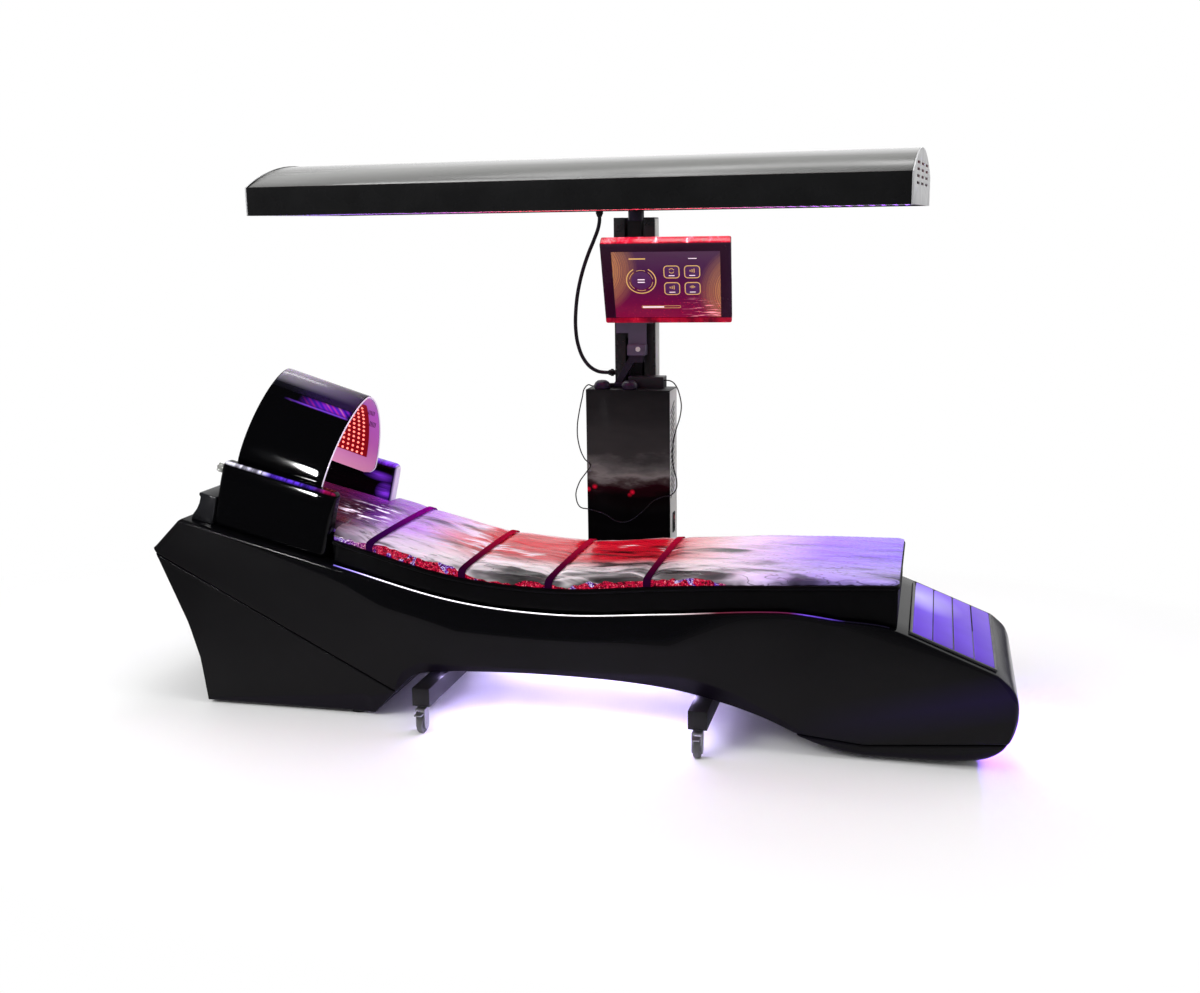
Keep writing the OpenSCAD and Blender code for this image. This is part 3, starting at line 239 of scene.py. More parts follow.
def sweep(name, path, side, over, sides, smooth):
    """An oval carried along a path; side and over are its half axes at every point."""
    angle = np.linspace(0, 2 * np.pi, sides, endpoint=False)[None, :, None]
    grid = path[:, None] + np.cos(angle) * side[:, None] + np.sin(angle) * over[:, None]
    return surface(name, grid, around=True, caps=True, smooth=smooth)


def round_tube(name, path, radius, sides=14):
    """A round tube: circles at right angles to the path, turned so that they never twist."""
    along = unit(np.gradient(path, axis=0))
    u = unit((0, 1.0, 0) - along[:, 1:2] * along)
    return sweep(name, path, radius * u, radius * np.cross(along, u), sides, 50)


def flat_tube(name, path, rx, rz, sides=12):
    """A tube with an oval section that stays upright: rx sideways, rz up and down."""
    along = unit(np.gradient(path, axis=0))
    side = unit(np.cross(along, (0, 0, 1.0)))
    return sweep(name, path, rx * side, rz * np.cross(side, along), sides, 60)


# %% [markdown]
# ## Helpers for finishes
#
# A finish is one Principled shader with fine noise in its colour, its roughness and its bump.
# What is the same all over a surface is set on the shader's own sockets. Each value in a finish
# is a wire, and arithmetic on wires adds the maths nodes, so a look can be written as a formula.

# %% Finish helpers
class Wire:
    """One output of a node. Sums, products and | (the larger of two) add maths nodes."""

    def __init__(self, net, socket):
        self.net, self.socket = net, socket

    def maths(self, operation, other=0.0):
        """One maths node."""
        return self.net.node("Math", {0: self, 1: other}, operation=operation)

    def __add__(self, other):
        return self.maths("ADD", other)

    def __sub__(self, other):
        return self.maths("SUBTRACT", other)

    def __mul__(self, other):
        return self.maths("MULTIPLY", other)

    def __or__(self, other):
        return self.maths("MAXIMUM", other)

    def __abs__(self):
        return self.maths("ABSOLUTE")

    def span(self, low, high, to_low=0.0, to_high=1.0):
        """The value stretched from one range to another."""
        return self.net.node("MapRange", {"Value": self, "From Min": low, "From Max": high,
                                          "To Min": to_low, "To Max": to_high})

    def drift(self, low, high):
        """Noise, which lies mostly between 0.3 and 0.7, stretched to a range."""
        return self.span(0.3, 0.7, low, high)

    def within(self, a, b, c, d):
        """0 up to a, 1 between b and c, and 0 again from d."""
        return self.span(a, b) * self.span(d, c)

    def ramp(self, *stops):
        """Colour of a value between stops of (place, red, green, blue)."""
        made = self.net.node("ValToRGB", {"Fac": self})
        elements = made.socket.node.color_ramp.elements
        while len(elements) < len(stops):
            elements.new(0.5)
        for e, (at, *colour) in zip(elements, stops):
            e.position = at
            e.color = (*colour, 1)
        return made

    def mix(self, a, b):
        """a where the value is 0, and b where it is 1."""
        return self.net.blend(self, a, b)

    def tinted(self, tint):
        """Colour times colour."""
        return self.net.blend(1.0, self, tint, "MULTIPLY")

    def times(self, *factors):
        """A vector, each axis times its own factor."""
        return self.net.node("VectorMath", {0: self, 1: factors}, operation="MULTIPLY")

    def away(self, *spot):
        """Distance from a spot."""
        return self.net.node("VectorMath", {0: self, 1: spot}, 1, operation="DISTANCE")

    def split(self):
        """The three parts of a vector."""
        made = self.net.node("SeparateXYZ", {"Vector": self}).socket.node
        return [Wire(self.net, out) for out in made.outputs]

    def grain(self, scale=1.0, detail=2.0, rough=0.5, twist=0.0):
        """Cloudy noise over a vector."""
        return self.net.node("TexNoise", {"Vector": self, "Scale": scale, "Detail": detail,
                                          "Roughness": rough, "Distortion": twist})


class Net:
    """A node tree being wired."""

    def __init__(self, tree):
        self.tree = tree

    def feed(self, socket, value):
        """Links a wire to a socket, or sets a constant on it."""
        if isinstance(value, Wire):
            self.tree.links.new(value.socket, socket)
        else:
            socket.default_value = (*value, 1) if socket.type == "RGBA" else value

    def node(self, kind, inputs=(), out=0, **props):
        """A new node with its inputs fed; gives the wire of one of its outputs."""
        made = self.tree.nodes.new("ShaderNode" + kind)
        for key, value in props.items():
            setattr(made, key, value)
        for key, value in dict(inputs).items():
            self.feed(made.inputs[key], value)
        return Wire(self, made.outputs[out])

    def blend(self, factor, a, b, how="MIX"):
        """Two colours made one."""
        return self.node("Mix", {"Factor": factor, 6: a, 7: b}, 2, data_type="RGBA", blend_type=how)


class Finish(Net):
    """A material: a Principled shader and the object's own coordinates."""

    def __init__(self, name, **sockets):
        self.mat = bpy.data.materials.new(name)
        self.mat.use_nodes = True
        super().__init__(self.mat.node_tree)
        self.shader = self.tree.nodes["Principled BSDF"]
        self.coords = self.node("TexCoord", out="Object")
        self.put(**{"Roughness": 0.4, **sockets})

    def put(self, **sockets):
        """Feeds the shader's sockets. Spec is short for the specular level."""
        for key, value in sockets.items():
            name = {"Spec": "Specular IOR Level", "Metal": "Metallic"}.get(key, key.replace("_", " "))
            self.feed(self.shader.inputs[name], value)
        return self

    def light(self, colour, strength):
        """Light of its own."""
        return self.put(Emission_Color=colour, Emission_Strength=strength)

    def read(self, name, out="Fac"):
        """What was marked on the points of the mesh."""
        return self.node("Attribute", out=out, attribute_name=name)

    def noise(self, scale, detail=3.0, stretch=(1, 1, 1), rough=0.5):
        """Noise over the object's own coordinates, finer along an axis with a larger stretch."""
        return self.node("Mapping", {"Vector": self.coords, "Scale": stretch}).grain(scale, detail, rough)

    def colour(self, base, vary=0.15, scale=12.0):
        """A base colour that drifts a little lighter and darker over the surface."""
        dark, light = [c * (1 - vary) for c in base], [min(1, c * (1 + vary)) for c in base]
        return self.put(Base_Color=self.noise(scale, 3).ramp((0.3, *dark), (0.7, *light)))

    def gloss(self, low, high, scale=20.0, detail=4):
        """Roughness that drifts between two values, as from handling and polish."""
        return self.put(Roughness=self.noise(scale, detail).drift(low, high))

    def bump(self, height, strength=0.3, distance=0.001):
        """Relief too fine for the mesh."""
        relief = self.node("Bump", {"Height": height, "Strength": strength, "Distance": distance})
        return self.put(Normal=relief)


def finish(name, base, low, high, spec=0.5, metal=0.0, grain=400.0, strength=0.1, vary=0.15, scale=12.0):
    """The plain kind of finish: drifting colour and gloss over a fine grain."""
    f = Finish(name, Metal=metal, Spec=spec)
    f.colour(base, vary, scale).gloss(low, high, scale * 1.7)
    return f.bump(f.noise(grain, 2), strength, 0.0005)


def glow(name, colour, strength, vary=0.15):
    """A lit diffuser: a little brighter and dimmer along its length."""
    f = Finish(name, Roughness=0.35, Base_Color=colour)
    return f.light(f.noise(9.0, 2).ramp((0.3, *(c * (1 - vary) for c in colour)), (0.7, *colour)), strength)


# %% [markdown]
# ## Black mouldings
#
# The bed is black all over, but not one black: polished wings and hood, a satin shell with a
# glossier band under its rim, powder coated steel below. A black that shows its form lives from
# its gloss, so each of these differs in roughness and in how strongly it mirrors.

# %% Black finishes
DEEP_BLACK = (0.001, 0.001, 0.0014)
polish_black = finish("polish_black", DEEP_BLACK, 0.03, 0.06, 0.12, grain=9.0, strength=0.02)
powder_black = finish("powder_black", (0.008, 0.0075, 0.009), 0.42, 0.48, 0.30, grain=900.0, strength=0.15,
                      vary=0.06, scale=5.0)
powder_grey = finish("powder_grey", (0.016, 0.016, 0.018), 0.3, 0.45, 0.4, grain=900.0, strength=0.2)
rubber_black = finish("rubber_black", (0.006, 0.006, 0.007), 0.55, 0.7, 0.3, grain=600.0, strength=0.2)
print("black finishes made")

# %% [markdown]
# ## The two cords
#
# Cords come before anything else, because they must fit the object and its clearances.
# The conduit hangs in one stiff bow from the lifting head to the side of the mast. The audio
# cord is thin and limp: it falls over the edge of the cabinet, sags across its front and climbs
# back to the headphones. Each is a round profile carried along a smooth curve through the same
# route points that its solid follows.

# %% Smooth routes
def hermite(t, a, b, slope_a, slope_b):
    """Cubic from a to b with the given slopes, t running from 0 to 1."""
    return ((2 * t**3 - 3 * t**2 + 1) * a + (t**3 - 2 * t**2 + t) * slope_a
            + (3 * t**2 - 2 * t**3) * b + (t**3 - t**2) * slope_b)


def smooth_route(stops, per_span):
    """A smooth curve through the points: cubic pieces whose slopes are the neighbours' mean directions."""
    p = np.asarray(stops, float)
    gap = np.linalg.norm(np.diff(p, axis=0), axis=1)[:, None]
    step = np.diff(p, axis=0) / gap
    tangent = unit(np.vstack([step[:1], step[1:] / gap[1:] + step[:-1] / gap[:-1], step[-1:]]))
    t = np.linspace(0, 1, per_span, endpoint=False)[None, :, None]
    slopes = tangent[:-1, None] * gap[:, None], tangent[1:, None] * gap[:, None]
    return np.vstack([hermite(t, p[:-1, None], p[1:, None], *slopes).reshape(-1, 3), p[-1:]])


def run_length(path):
    """Length along a path."""
    return float(np.linalg.norm(np.diff(path, axis=0), axis=1).sum())


# %% Conduit
conduit_stops = [(-84, 0, 1383), (-84, 0, 1370), (-88, -2, 1345), (-100, -8, 1310), (-118, -16, 1265),
                 (-136, -24, 1210), (-150, -30, 1150), (-158, -32, 1090), (-160, -32, 1030), (-153, -30, 975),
                 (-138, -24, 932), (-116, -14, 902), (-92, -5, 888), (-72, 0, 885), (-56, 0, 885)]
conduit_path = smooth_route(np.array(conduit_stops) / 1000 + (0, MAST_Y, 0), 8)
conduit_piece = round_tube("conduit_bow", conduit_path, 0.006)
conduit_jacket = finish("conduit_jacket", (0.010, 0.008, 0.013), 0.35, 0.5, 0.4, grain=500.0, strength=0.15)
conduit_piece.data.materials.append(conduit_jacket.mat)
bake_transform(conduit_piece)
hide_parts("conduit")
print("conduit", round(run_length(conduit_path), 3), "m")

# %% Audio cord
audio_stops = [(239, 62, 872), (252, 62, 872), (268, 52, 869), (285, 36, 855), (298, 20, 830), (306, 4, 800),
               (303, -4, 766), (290, -8, 722), (282, -8, 680), (279, -8, 647), (285, -8, 600), (293, -8, 568),
               (291, -8, 537), (276, -8, 519), (250, -8, 512), (223, -8, 500), (178, -8, 457), (135, -8, 427),
               (109, -8, 424), (53, -8, 450), (3, -8, 462), (-22, -8, 467), (-36, -8, 500), (-25, -8, 546),
               (4, -8, 588), (14, -8, 604), (-4, -8, 624), (-26, -8, 686), (-27, -8, 734), (-21, -6, 775),
               (-12, 0, 820), (-6, 12, 850), (4, 22, 859), (14, 27, 855), (21, 27, 855)]
audio_path = smooth_route(np.array(audio_stops) / 1000 + (cab_lo.x, cab_lo.y, 0), 8)
audio_piece = round_tube("audio_cord_run", audio_path, 0.0019, 10)
cord_jacket = finish("cord_jacket", (0.005, 0.004, 0.006), 0.4, 0.55, 0.4, grain=900.0, strength=0.1)
hang(audio_piece, "frame", "cord", cord_jacket, "audio_cord")
print("audio cord", round(run_length(audio_path), 3), "m")

# %% [markdown]
# ## Floor, background and light
#
# The photograph is taken in a white studio. A large soft lamp from the front left, a broad one
# from above and an even world light give a plain level, and narrow strip lamps draw the bright
# lines on the polished edges. The floor is pale and catches the shadow and the glow below the bed.
# Far from the object it turns into plain white, so that no horizon shows.

# %% World
def studio_world():
    """White to the eye. Mirrors see a white wall low behind the object and a dim room elsewhere."""
    world = bpy.data.worlds.new("studio")
    world.use_nodes = True
    net = Net(world.node_tree)
    _, y, z = net.node("TexCoord", out="Generated").split()
    wall = (y.span(-0.1, 0.35) * z.span(0.95, 0.50)).span(0, 1, 0.10, 1.0)
    plain = [net.node("Background", {"Color": (1, 1, 1), "Strength": s}) for s in (wall, 0.6, 1.0)]
    ray = {kind: net.node("LightPath", out=f"Is {kind} Ray") for kind in ("Glossy", "Camera", "Transmission")}
    lit = net.node("MixShader", {0: ray["Glossy"], 1: plain[1], 2: plain[0]})
    shown = net.node("MixShader", {0: ray["Camera"] | ray["Transmission"], 1: lit, 2: plain[2]})
    net.feed(world.node_tree.nodes["World Output"].inputs["Surface"], shown)
    return world


scene.world = studio_world()

# %% Floor
def floor_finish():
    """White floor near the object, and plain white light further out, by distance from the middle."""
    f = Finish("studio_floor", Roughness=0.6, Spec=0.2)
    f.colour((0.93, 0.93, 0.93), 0.02, 0.8)
    far = f.coords.times(0.36, 0.62, 0).away(0, 0, 0)
    eye_ray = f.node("LightPath", out="Is Camera Ray")
    light = f.node("Emission", {"Color": (1, 1, 1), "Strength": eye_ray.span(0.0, 1.0, 0.12, 1.0)})
    seen = eye_ray | f.node("LightPath", out="Is Glossy Ray")
    shader = Wire(f, f.shader.outputs[0])
    mixed = f.node("MixShader", {0: far.span(0.62, 1.0) * seen, 1: shader, 2: light})
    f.feed(f.tree.nodes["Material Output"].inputs["Surface"], mixed)
    return f


floor = mesh_object("floor", [(-30, -30, 0), (30, -30, 0), (30, 30, 0), (-30, 30, 0)], [(0, 1, 2, 3)])
floor.data.materials.append(floor_finish().mat)


# %% Lamps
def lamp(name, stand, target, size, watts, spread=180):
    """An area lamp at a place, facing its target; a small spread keeps its light on the target."""
    data = bpy.data.lights.new(name, "AREA")
    data.shape = "RECTANGLE" if spread > 90 else "ELLIPSE"
    data.size, data.size_y = size
    data.energy = watts
    data.spread = math.radians(spread)
    obj = place(name, data)
    way = Vector(target) - Vector(stand)
    obj.matrix_world = Matrix.Translation(stand) @ way.to_track_quat("-Z", "Y").to_matrix().to_4x4()
    return obj


for soft_lamp in (lamp("key", (-2.6, -3.4, 3.4), (0, 0, 0.6), (2.4, 1.6), 110),
                  lamp("top", (0.4, 0.2, 4.2), (0.2, 0, 0.4), (4.0, 2.2), 100)):
    soft_lamp.visible_glossy = False
for shine in (lamp("shine_left", (-1.754, -3.15, 1.24), (-0.85, -0.4, 0.65), (0.155, 0.40), 1.0, spread=18),
              lamp("shine_top", (-0.3, 1.2, 3.2), (-0.2, 0, 0.5), (3.0, 0.25), 22)):
    shine.visible_diffuse = False

# %% [markdown]
# ## The moulded body
#
# The body is one long wave. From the side it is a band between two curves: the deck on top,
# and the arch, the head seam and the foot seam below. Its section is nearly the same all along:
# a rim with a small radius, a glossy band that leans in towards the rim, a flat satin side, and
# a lower band that tucks in under the bed.
# A box cut with booleans would lose the long soft facet lines. So the body is a grid: stations
# along X, and at each station one closed ring of points that follows the facet lines' heights.

# %% Outlines from the side
def wave_line(stations, first, last):
    """Smooth height over x: cubic pieces whose inner slopes are those between the neighbours."""
    p = np.array(stations, float) / 1000
    m = np.concatenate([[first], (p[2:, 1] - p[:-2, 1]) / (p[2:, 0] - p[:-2, 0]), [last]])

    def height(x):
        x = np.asarray(x, float)
        i = np.clip(np.searchsorted(p[:, 0], x) - 1, 0, len(p) - 2)
        h = p[i + 1, 0] - p[i, 0]
        inside = hermite((x - p[i, 0]) / h, p[i, 1], p[i + 1, 1], m[i] * h, m[i + 1] * h)
        low, high = p[0, 1] + (x - p[0, 0]) * first, p[-1, 1] + (x - p[-1, 0]) * last
        return np.where(x < p[0, 0], low, np.where(x > p[-1, 0], high, inside))
    return height


def line_of(stops):
    """Height of a polyline over x."""
    return lambda x: np.interp(x, stops[:, 0], stops[:, 1])


def soft_line(stops, x, width=0.03):
    """The same with corners rounded, by averaging over a short stretch."""
    return np.mean([line_of(stops)(x + d) for d in np.linspace(-width, width, 9)], axis=0)


back_slope = math.tan(BACK_TILT)
deck = wave_line([(-607, 427), (-290, 353), (5, 332), (300, 352), (600, 377), (745.5, 366), (915, 344)],
                 -back_slope, -math.tan(FOOT_TILT))
arch = wave_line([(-420, 127), (-340, 148), (-36, 165), (293, 152), (545, 98), (738, 24), (870, 10)], 0.5, 0)
nose = smooth_route(np.array([(1149, 251, 0), (1187, 212, 0), (1200, 165, 0), (1178, 75, 0), (1136, 34, 0),
                              (1090, 19, 0), (1000, 10, 0)]) / 1000, 12)[:, :2]
nose[:, 0] = np.minimum(nose[:, 0], HALF_LEN)
head_tip = [(-1.2, 0.461)]
deck_x, arch_x = np.linspace(-1.108, 1.149, 400), np.linspace(-0.42, 0.65, 120)
seam_head = np.array([(-1.194, 0.447), (-0.465, 0.082)])
seam_foot = np.array([(0.650, float(arch(0.65))), (0.828, 0.042), (1.178, 0.075)])
top_line = np.vstack([head_tip, np.c_[deck_x, deck(deck_x)], nose[1:25]])
low_line = np.vstack([head_tip, seam_head, np.c_[arch_x, arch(arch_x)], seam_foot[1:], nose[24:36][::-1]])
edge_z = np.linspace(0.008, 0.447, 30)
rear_edge = np.interp(edge_z, [0.008, 0.12, 0.238, 0.447], [-1.062, -1.071, -1.105, -1.194])
facet_up = np.array([(-1110, 551), (-974, 510), (-766, 442), (-616, 392), (-499, 330), (-352, 294),
                     (-208, 252), (-137, 231), (19, 229), (185, 238), (312, 268), (418, 322), (473, 344),
                     (555, 360), (657, 369), (720, 369), (1149, 252), (1200, 165)]) / 1000
facet_low = np.array([(-1200, 0), (-470, 78), (-449, 141), (-387, 174), (-314, 172), (-61, 178), (121, 183),
                      (269, 190), (347, 190), (419, 176), (489, 156), (545, 129), (608, 98), (678, 58),
                      (732, 41), (816, 41), (1178, 74), (1200, 165)]) / 1000


# %% Rings of the body
def body_piece(name, x, top, low, r_top, r_low, end_radius=(0.006, 0.02)):
    """One shell as stations along X times closed rings.

    Half the width at a height is that of the flat side, less 0.08 times the height above the upper
    facet line, or less 0.30 times the depth below the lower one. Both edges are rounded, and so are
    the upright edges at both ends. Two masks mark the upper and the lower band.
    """
    z_top, z_low = top(x), low(x)
    tall = np.maximum(z_top - z_low, 1e-4)
    up = np.clip(soft_line(facet_up, x), z_low + 0.6 * tall, z_top)
    dn = np.clip(soft_line(facet_low, x, 0.012), z_low, z_low + 0.5 * tall)
    rt, rl = np.minimum(r_top, 0.45 * tall), np.minimum(r_low, 0.45 * tall)
    a, b = z_low + rl, z_top - rt
    lines = [dn + d for d in (-0.008, -0.002, 0.002, 0.008)] + [dn + (up - dn) * f for f in (0.25, 0.5, 0.75)]
    lines += [up + d for d in (-0.009, -0.002, 0.002, 0.009)] + [up + (b - up) * f for f in (0.35, 0.7)]
    heights = np.sort(np.clip(np.array([a, *lines, b]), a, np.maximum(a, b)), axis=0)
    width = HALF_WIDTH - 0.08 * np.maximum(heights - up, 0) - 0.30 * np.maximum(dn - heights, 0)
    turn = np.linspace(0, quarter, 6)[:, None]
    sag, inset = 1 - np.sin(turn), 1 - np.cos(turn)
    zs = np.vstack([z_low + rl * sag[::-1], heights[1:-1], z_top - rt * sag])
    ws = np.vstack([width[0] - rl * inset[::-1], width[1:-1], width[-1] - rt * inset])
    ws = ws - cut_in(x - x[0], end_radius[0]) - cut_in(x[-1] - x, end_radius[1])
    across = np.linspace(1, -1, 7)[1:-1, None]
    rings = [points(x, BED_Y - ws, zs), points(x, BED_Y - across * ws[-1], z_top),
             points(x, BED_Y + ws, zs)[::-1], points(x, BED_Y + across * ws[0], z_low)]
    obj = surface(name, np.vstack(rings).transpose(1, 0, 2), around=True, caps=True, smooth=35, flip=True)
    fade = 0.006 + 0.05 * np.clip((x - 0.05) / 0.4, 0, 1)
    masks = {"upper": (np.clip((zs - up) / fade + 0.5, 0, 1), 1.0, 0.0),
             "lower": (np.clip((dn - zs) / 0.006 + 0.5, 0, 1), 0.0, 1.0)}
    for key, (side, on_deck, on_base) in masks.items():
        deck_row, base_row = (np.full((5, len(x)), v) for v in (on_deck, on_base))
        mark(obj, key, np.vstack([side, deck_row, side[::-1], base_row]).T)
    return obj


def round_end(x, size, first, last, n):
    """Stations that crowd towards a rounded end."""
    steps = size * (1 - np.cos(np.linspace(first, last, n)))
    return x + steps if x < 0 else x - steps[::-1]


gap = 0.0009
main_x = np.concatenate([round_end(-1.2, 0.03, 0.12, quarter, 8), np.linspace(-1.165, 1.165, 230),
                         round_end(1.2, 0.03, 0.06, quarter, 16)])
plinth_x = np.concatenate([round_end(-1.1935, 0.02, 0.1, quarter, 6), np.linspace(-1.170, -0.468, 90)])
skirt_x = np.concatenate([np.linspace(0.654, 1.155, 70), round_end(1.1775, 0.02, 0.1, 1.5, 10)])
plinth_low = np.vstack([np.c_[rear_edge, edge_z][::-1], [(-0.539, 0.008), (-0.466, 0.081)]])
curve_x = np.linspace(0.652, 1.0, 60)
skirt_low = np.vstack([np.c_[curve_x, arch(curve_x)], nose[36:][::-1][1:]])
skirt_low[:, 1] = np.where(skirt_low[:, 0] > 0.87, np.maximum(skirt_low[:, 1], 0.010), skirt_low[:, 1])
main_body = body_piece("body_shell", main_x, line_of(top_line),
                       lambda x: line_of(low_line)(x) + np.where((x < -0.455) | (x > 0.66), gap, 0),
                       0.009, 0.005)
plinth = body_piece("body_plinth", plinth_x, lambda x: line_of(seam_head)(x) - gap, line_of(plinth_low),
                    0.004, 0.006, (0.006, 0.004))
skirt = body_piece("body_skirt", skirt_x,
                   lambda x: np.maximum(line_of(seam_foot)(x) - gap, line_of(skirt_low)(x) + 2e-4),
                   line_of(skirt_low), 0.004, 0.040, (0.004, 0.02))


def shell_finish():
    """Satin sides, a glossier band under the rim, and painted violet reflections on the lower band and foot
    end.
    """
    f = Finish("shell_finish", Spec=0.10)
    x, _, z = f.coords.split()
    upper, drift = f.read("upper"), f.noise(3.0, 2)
    side = drift.ramp((0.3, 0.0048, 0.0045, 0.0052), (0.7, 0.0072, 0.0068, 0.0076))
    # The violet of the lower band is a painted reflection of the underglow below the bed.
    bands = f.read("lower").mix(upper.mix(side, (0.0018, 0.0018, 0.0024)), (0.0045, 0.0030, 0.0070))
    # A painted violet reflection streak runs slantwise across the bulb of the foot end.
    streak = abs(z - x.span(0.6, 1.2, 0.05, 0.21)).span(0.07, 0.0) * x.span(0.62, 1.15)
    f.put(Base_Color=(streak * 0.7).mix(bands, (0.012, 0.006, 0.040)),
          Roughness=drift.drift(0.30, 0.38) + upper * -0.16)
    return f.bump(f.noise(140.0, 2), 0.03, 0.0004)


shell = shell_finish()
hang(main_body, "frame", "shell_black", shell, "main_shell")
hang(plinth, "frame", "shell_satin", shell, "head_plinth")
hang(skirt, "frame", "shell_satin", shell, "foot_skirt")

# %% [markdown]
# ## Mattress, film and straps
#
# The mattress is a firm black base with a rolled lip, a pale pad on it and a clear film over
# the pad, held down by four straps. A pad drawn as a box looks like wood. So the pad and the
# base are blown up a little by a cloth simulation with inner pressure, and then keep that
# shape. The film is laid over the pad's own top surface and crumpled by folded noise, which
# fades out under the straps, where the film is pressed flat.

# %% Surface of the pad
pad_line = wave_line([(-607, 519), (-290, 443), (5, 424), (300, 448), (600, 467), (902, 471)], -back_slope, 0)
pad_lo, pad_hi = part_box("mattress_pad")
STRAPS = np.array([-0.535, -0.265, -0.018, 0.253])
PILLOW_X = -0.648
PILLOW_HALF, PAD_HALF = 0.179, 0.238
BACK_END, BACK_TOP = -0.607, 0.092


def pad_height(x):
    """Top of the pad in its middle: above the deck on the back rest, then a line of its own."""
    return np.where(x <= BACK_END, deck(x) + BACK_TOP, pad_line(x))


def lip_drop(x):
    """How far the rolled edge lies below the top; it gets flatter towards the foot end."""
    return 0.023 * (1 - 0.6 * np.clip((x - 0.6) / 0.302, 0, 1))


def strap_dip(x):
    """1 at a strap, falling to 0 beside it like a bell curve 26 mm wide."""
    return np.exp(-((np.asarray(x)[..., None] - STRAPS) / 0.026)**2).max(-1)


def pad_surface(x, s):
    """Top of the pad: crown over the width, rolled edges, channels under the straps."""
    return (pad_height(x) - 0.4 * lip_drop(x) * np.abs(s)**12 + 0.004 * (1 - s * s)
            - 0.004 * strap_dip(x) * (1 - s**8))


def half_width(x, corner=0.026):
    """Half of the pad's width: narrow between the wings, with round corners at both ends."""
    wide = np.where(x < PILLOW_X + 0.003, PILLOW_HALF, PAD_HALF)
    return wide - cut_in(pad_hi.x - x, corner) - cut_in(x - pad_lo.x, corner)


# %% [markdown]
# Noise here is value noise: random numbers on a lattice, blended smoothly. Taking how far a
# noise is from its middle and turning it over gives sharp ridges, which read as folds.

# %% Noise
lattice = np.random.default_rng(7).random((64, 64))


def value_noise(u, v, shift=0):
    """Random lattice values blended by a smooth step, wrapped every 64 cells."""
    u, v = u + 17.3 * shift, v + 5.7 * shift
    i, j = np.floor(u).astype(int), np.floor(v).astype(int)
    a, b = u - i, v - j
    a, b = a * a * (3 - 2 * a), b * b * (3 - 2 * b)
    row = lambda q: lattice[i % 64, q % 64] * (1 - a) + lattice[(i + 1) % 64, q % 64] * a
    return row(j) * (1 - b) + row(j + 1) * b


def ridges(u, v, shift):
    """Sharp crests where the noise passes its middle value."""
    return (1 - np.abs(2 * value_noise(u, v, shift) - 1))**2


# %% Cloth simulation for the padded pieces
PRESSURE, STIFFNESS, STEPS = 4.0, 40, 20


def apply_modifiers(obj):
    """Bakes what the modifiers make into the mesh."""
    mesh = bpy.data.meshes.new_from_object(obj.evaluated_get(bpy.context.evaluated_depsgraph_get()))
    obj.modifiers.clear()
    obj.data = mesh


def modify(obj, kind, **settings):
    """A new modifier with its settings."""
    made = obj.modifiers.new(kind.lower(), kind)
    for key, value in settings.items():
        setattr(made, key, value)
    return made


def shrink(bm):
    """Draws every point in by 1.5 mm, so that the blown up piece has the size of its solid."""
    bm.normal_update()
    for v in bm.verts:
        v.co -= v.normal * 0.0015


def copy_of(node, name, distance, change):
    """A solid's mesh in the scene's own frame, its loose triangles merged."""
    source = nodes[node]
    mesh = source.data.copy()
    mesh.transform(source.matrix_world)
    weld(mesh, distance, change)
    return place(name, mesh)


def puffed(name, node, voxel, cap, subdivide):
    """A copy of a plain solid, blown up by cloth pressure, moving no point further than the cap."""
    obj = copy_of(node, name, 1e-5, shrink)
    modify(obj, "REMESH", mode="VOXEL", voxel_size=voxel)
    apply_modifiers(obj)
    before = corners_of(obj)
    cloth = modify(obj, "CLOTH")
    cloth.settings.use_pressure = True
    cloth.settings.uniform_pressure_force = PRESSURE
    cloth.settings.effector_weights.gravity = 0
    cloth.settings.tension_stiffness = cloth.settings.compression_stiffness = STIFFNESS
    cloth.point_cache.frame_start, cloth.point_cache.frame_end = 1, STEPS
    for number in range(1, STEPS + 1):
        scene.frame_set(number)
        obj.evaluated_get(bpy.context.evaluated_depsgraph_get())
    apply_modifiers(obj)
    scene.frame_set(1)
    move = corners_of(obj) - before
    far = np.maximum(np.linalg.norm(move, axis=1, keepdims=True), 1e-9)
    after = before + move * np.minimum(1, cap / far)
    obj.data.vertices.foreach_set("co", after.ravel())
    modify(obj, "SMOOTH", factor=0.5, iterations=3)
    if subdivide:
        modify(obj, "SUBSURF", levels=subdivide, render_levels=subdivide)
    apply_modifiers(obj)
    obj.data.shade_smooth()
    return obj


# %% Base and pad
def leather_finish():
    """Black leather: small cells in the relief."""
    f = Finish("base_leather", Spec=0.08)
    f.colour((0.0012, 0.0011, 0.0015), 0.2, 6.0).gloss(0.42, 0.55, 9.0)
    return f.bump(f.node("TexVoronoi", {"Vector": f.coords, "Scale": 420.0}), 0.25, 0.0006)


leather = leather_finish()
base = puffed("mattress_block", "mattress_base", 0.009, 0.004, 0)
hang(base, "frame", "cushion_black", leather, "mattress_base")
pad_cover = finish("pad_cover", (0.55, 0.52, 0.58), 0.5, 0.7, 0.3, grain=500.0, strength=0.2, vary=0.05)
pad = puffed("mattress_top", "mattress_pad", 0.011, 0.0015, 1)
hang(pad, "frame", "pad_grey", pad_cover, "mattress_pad")

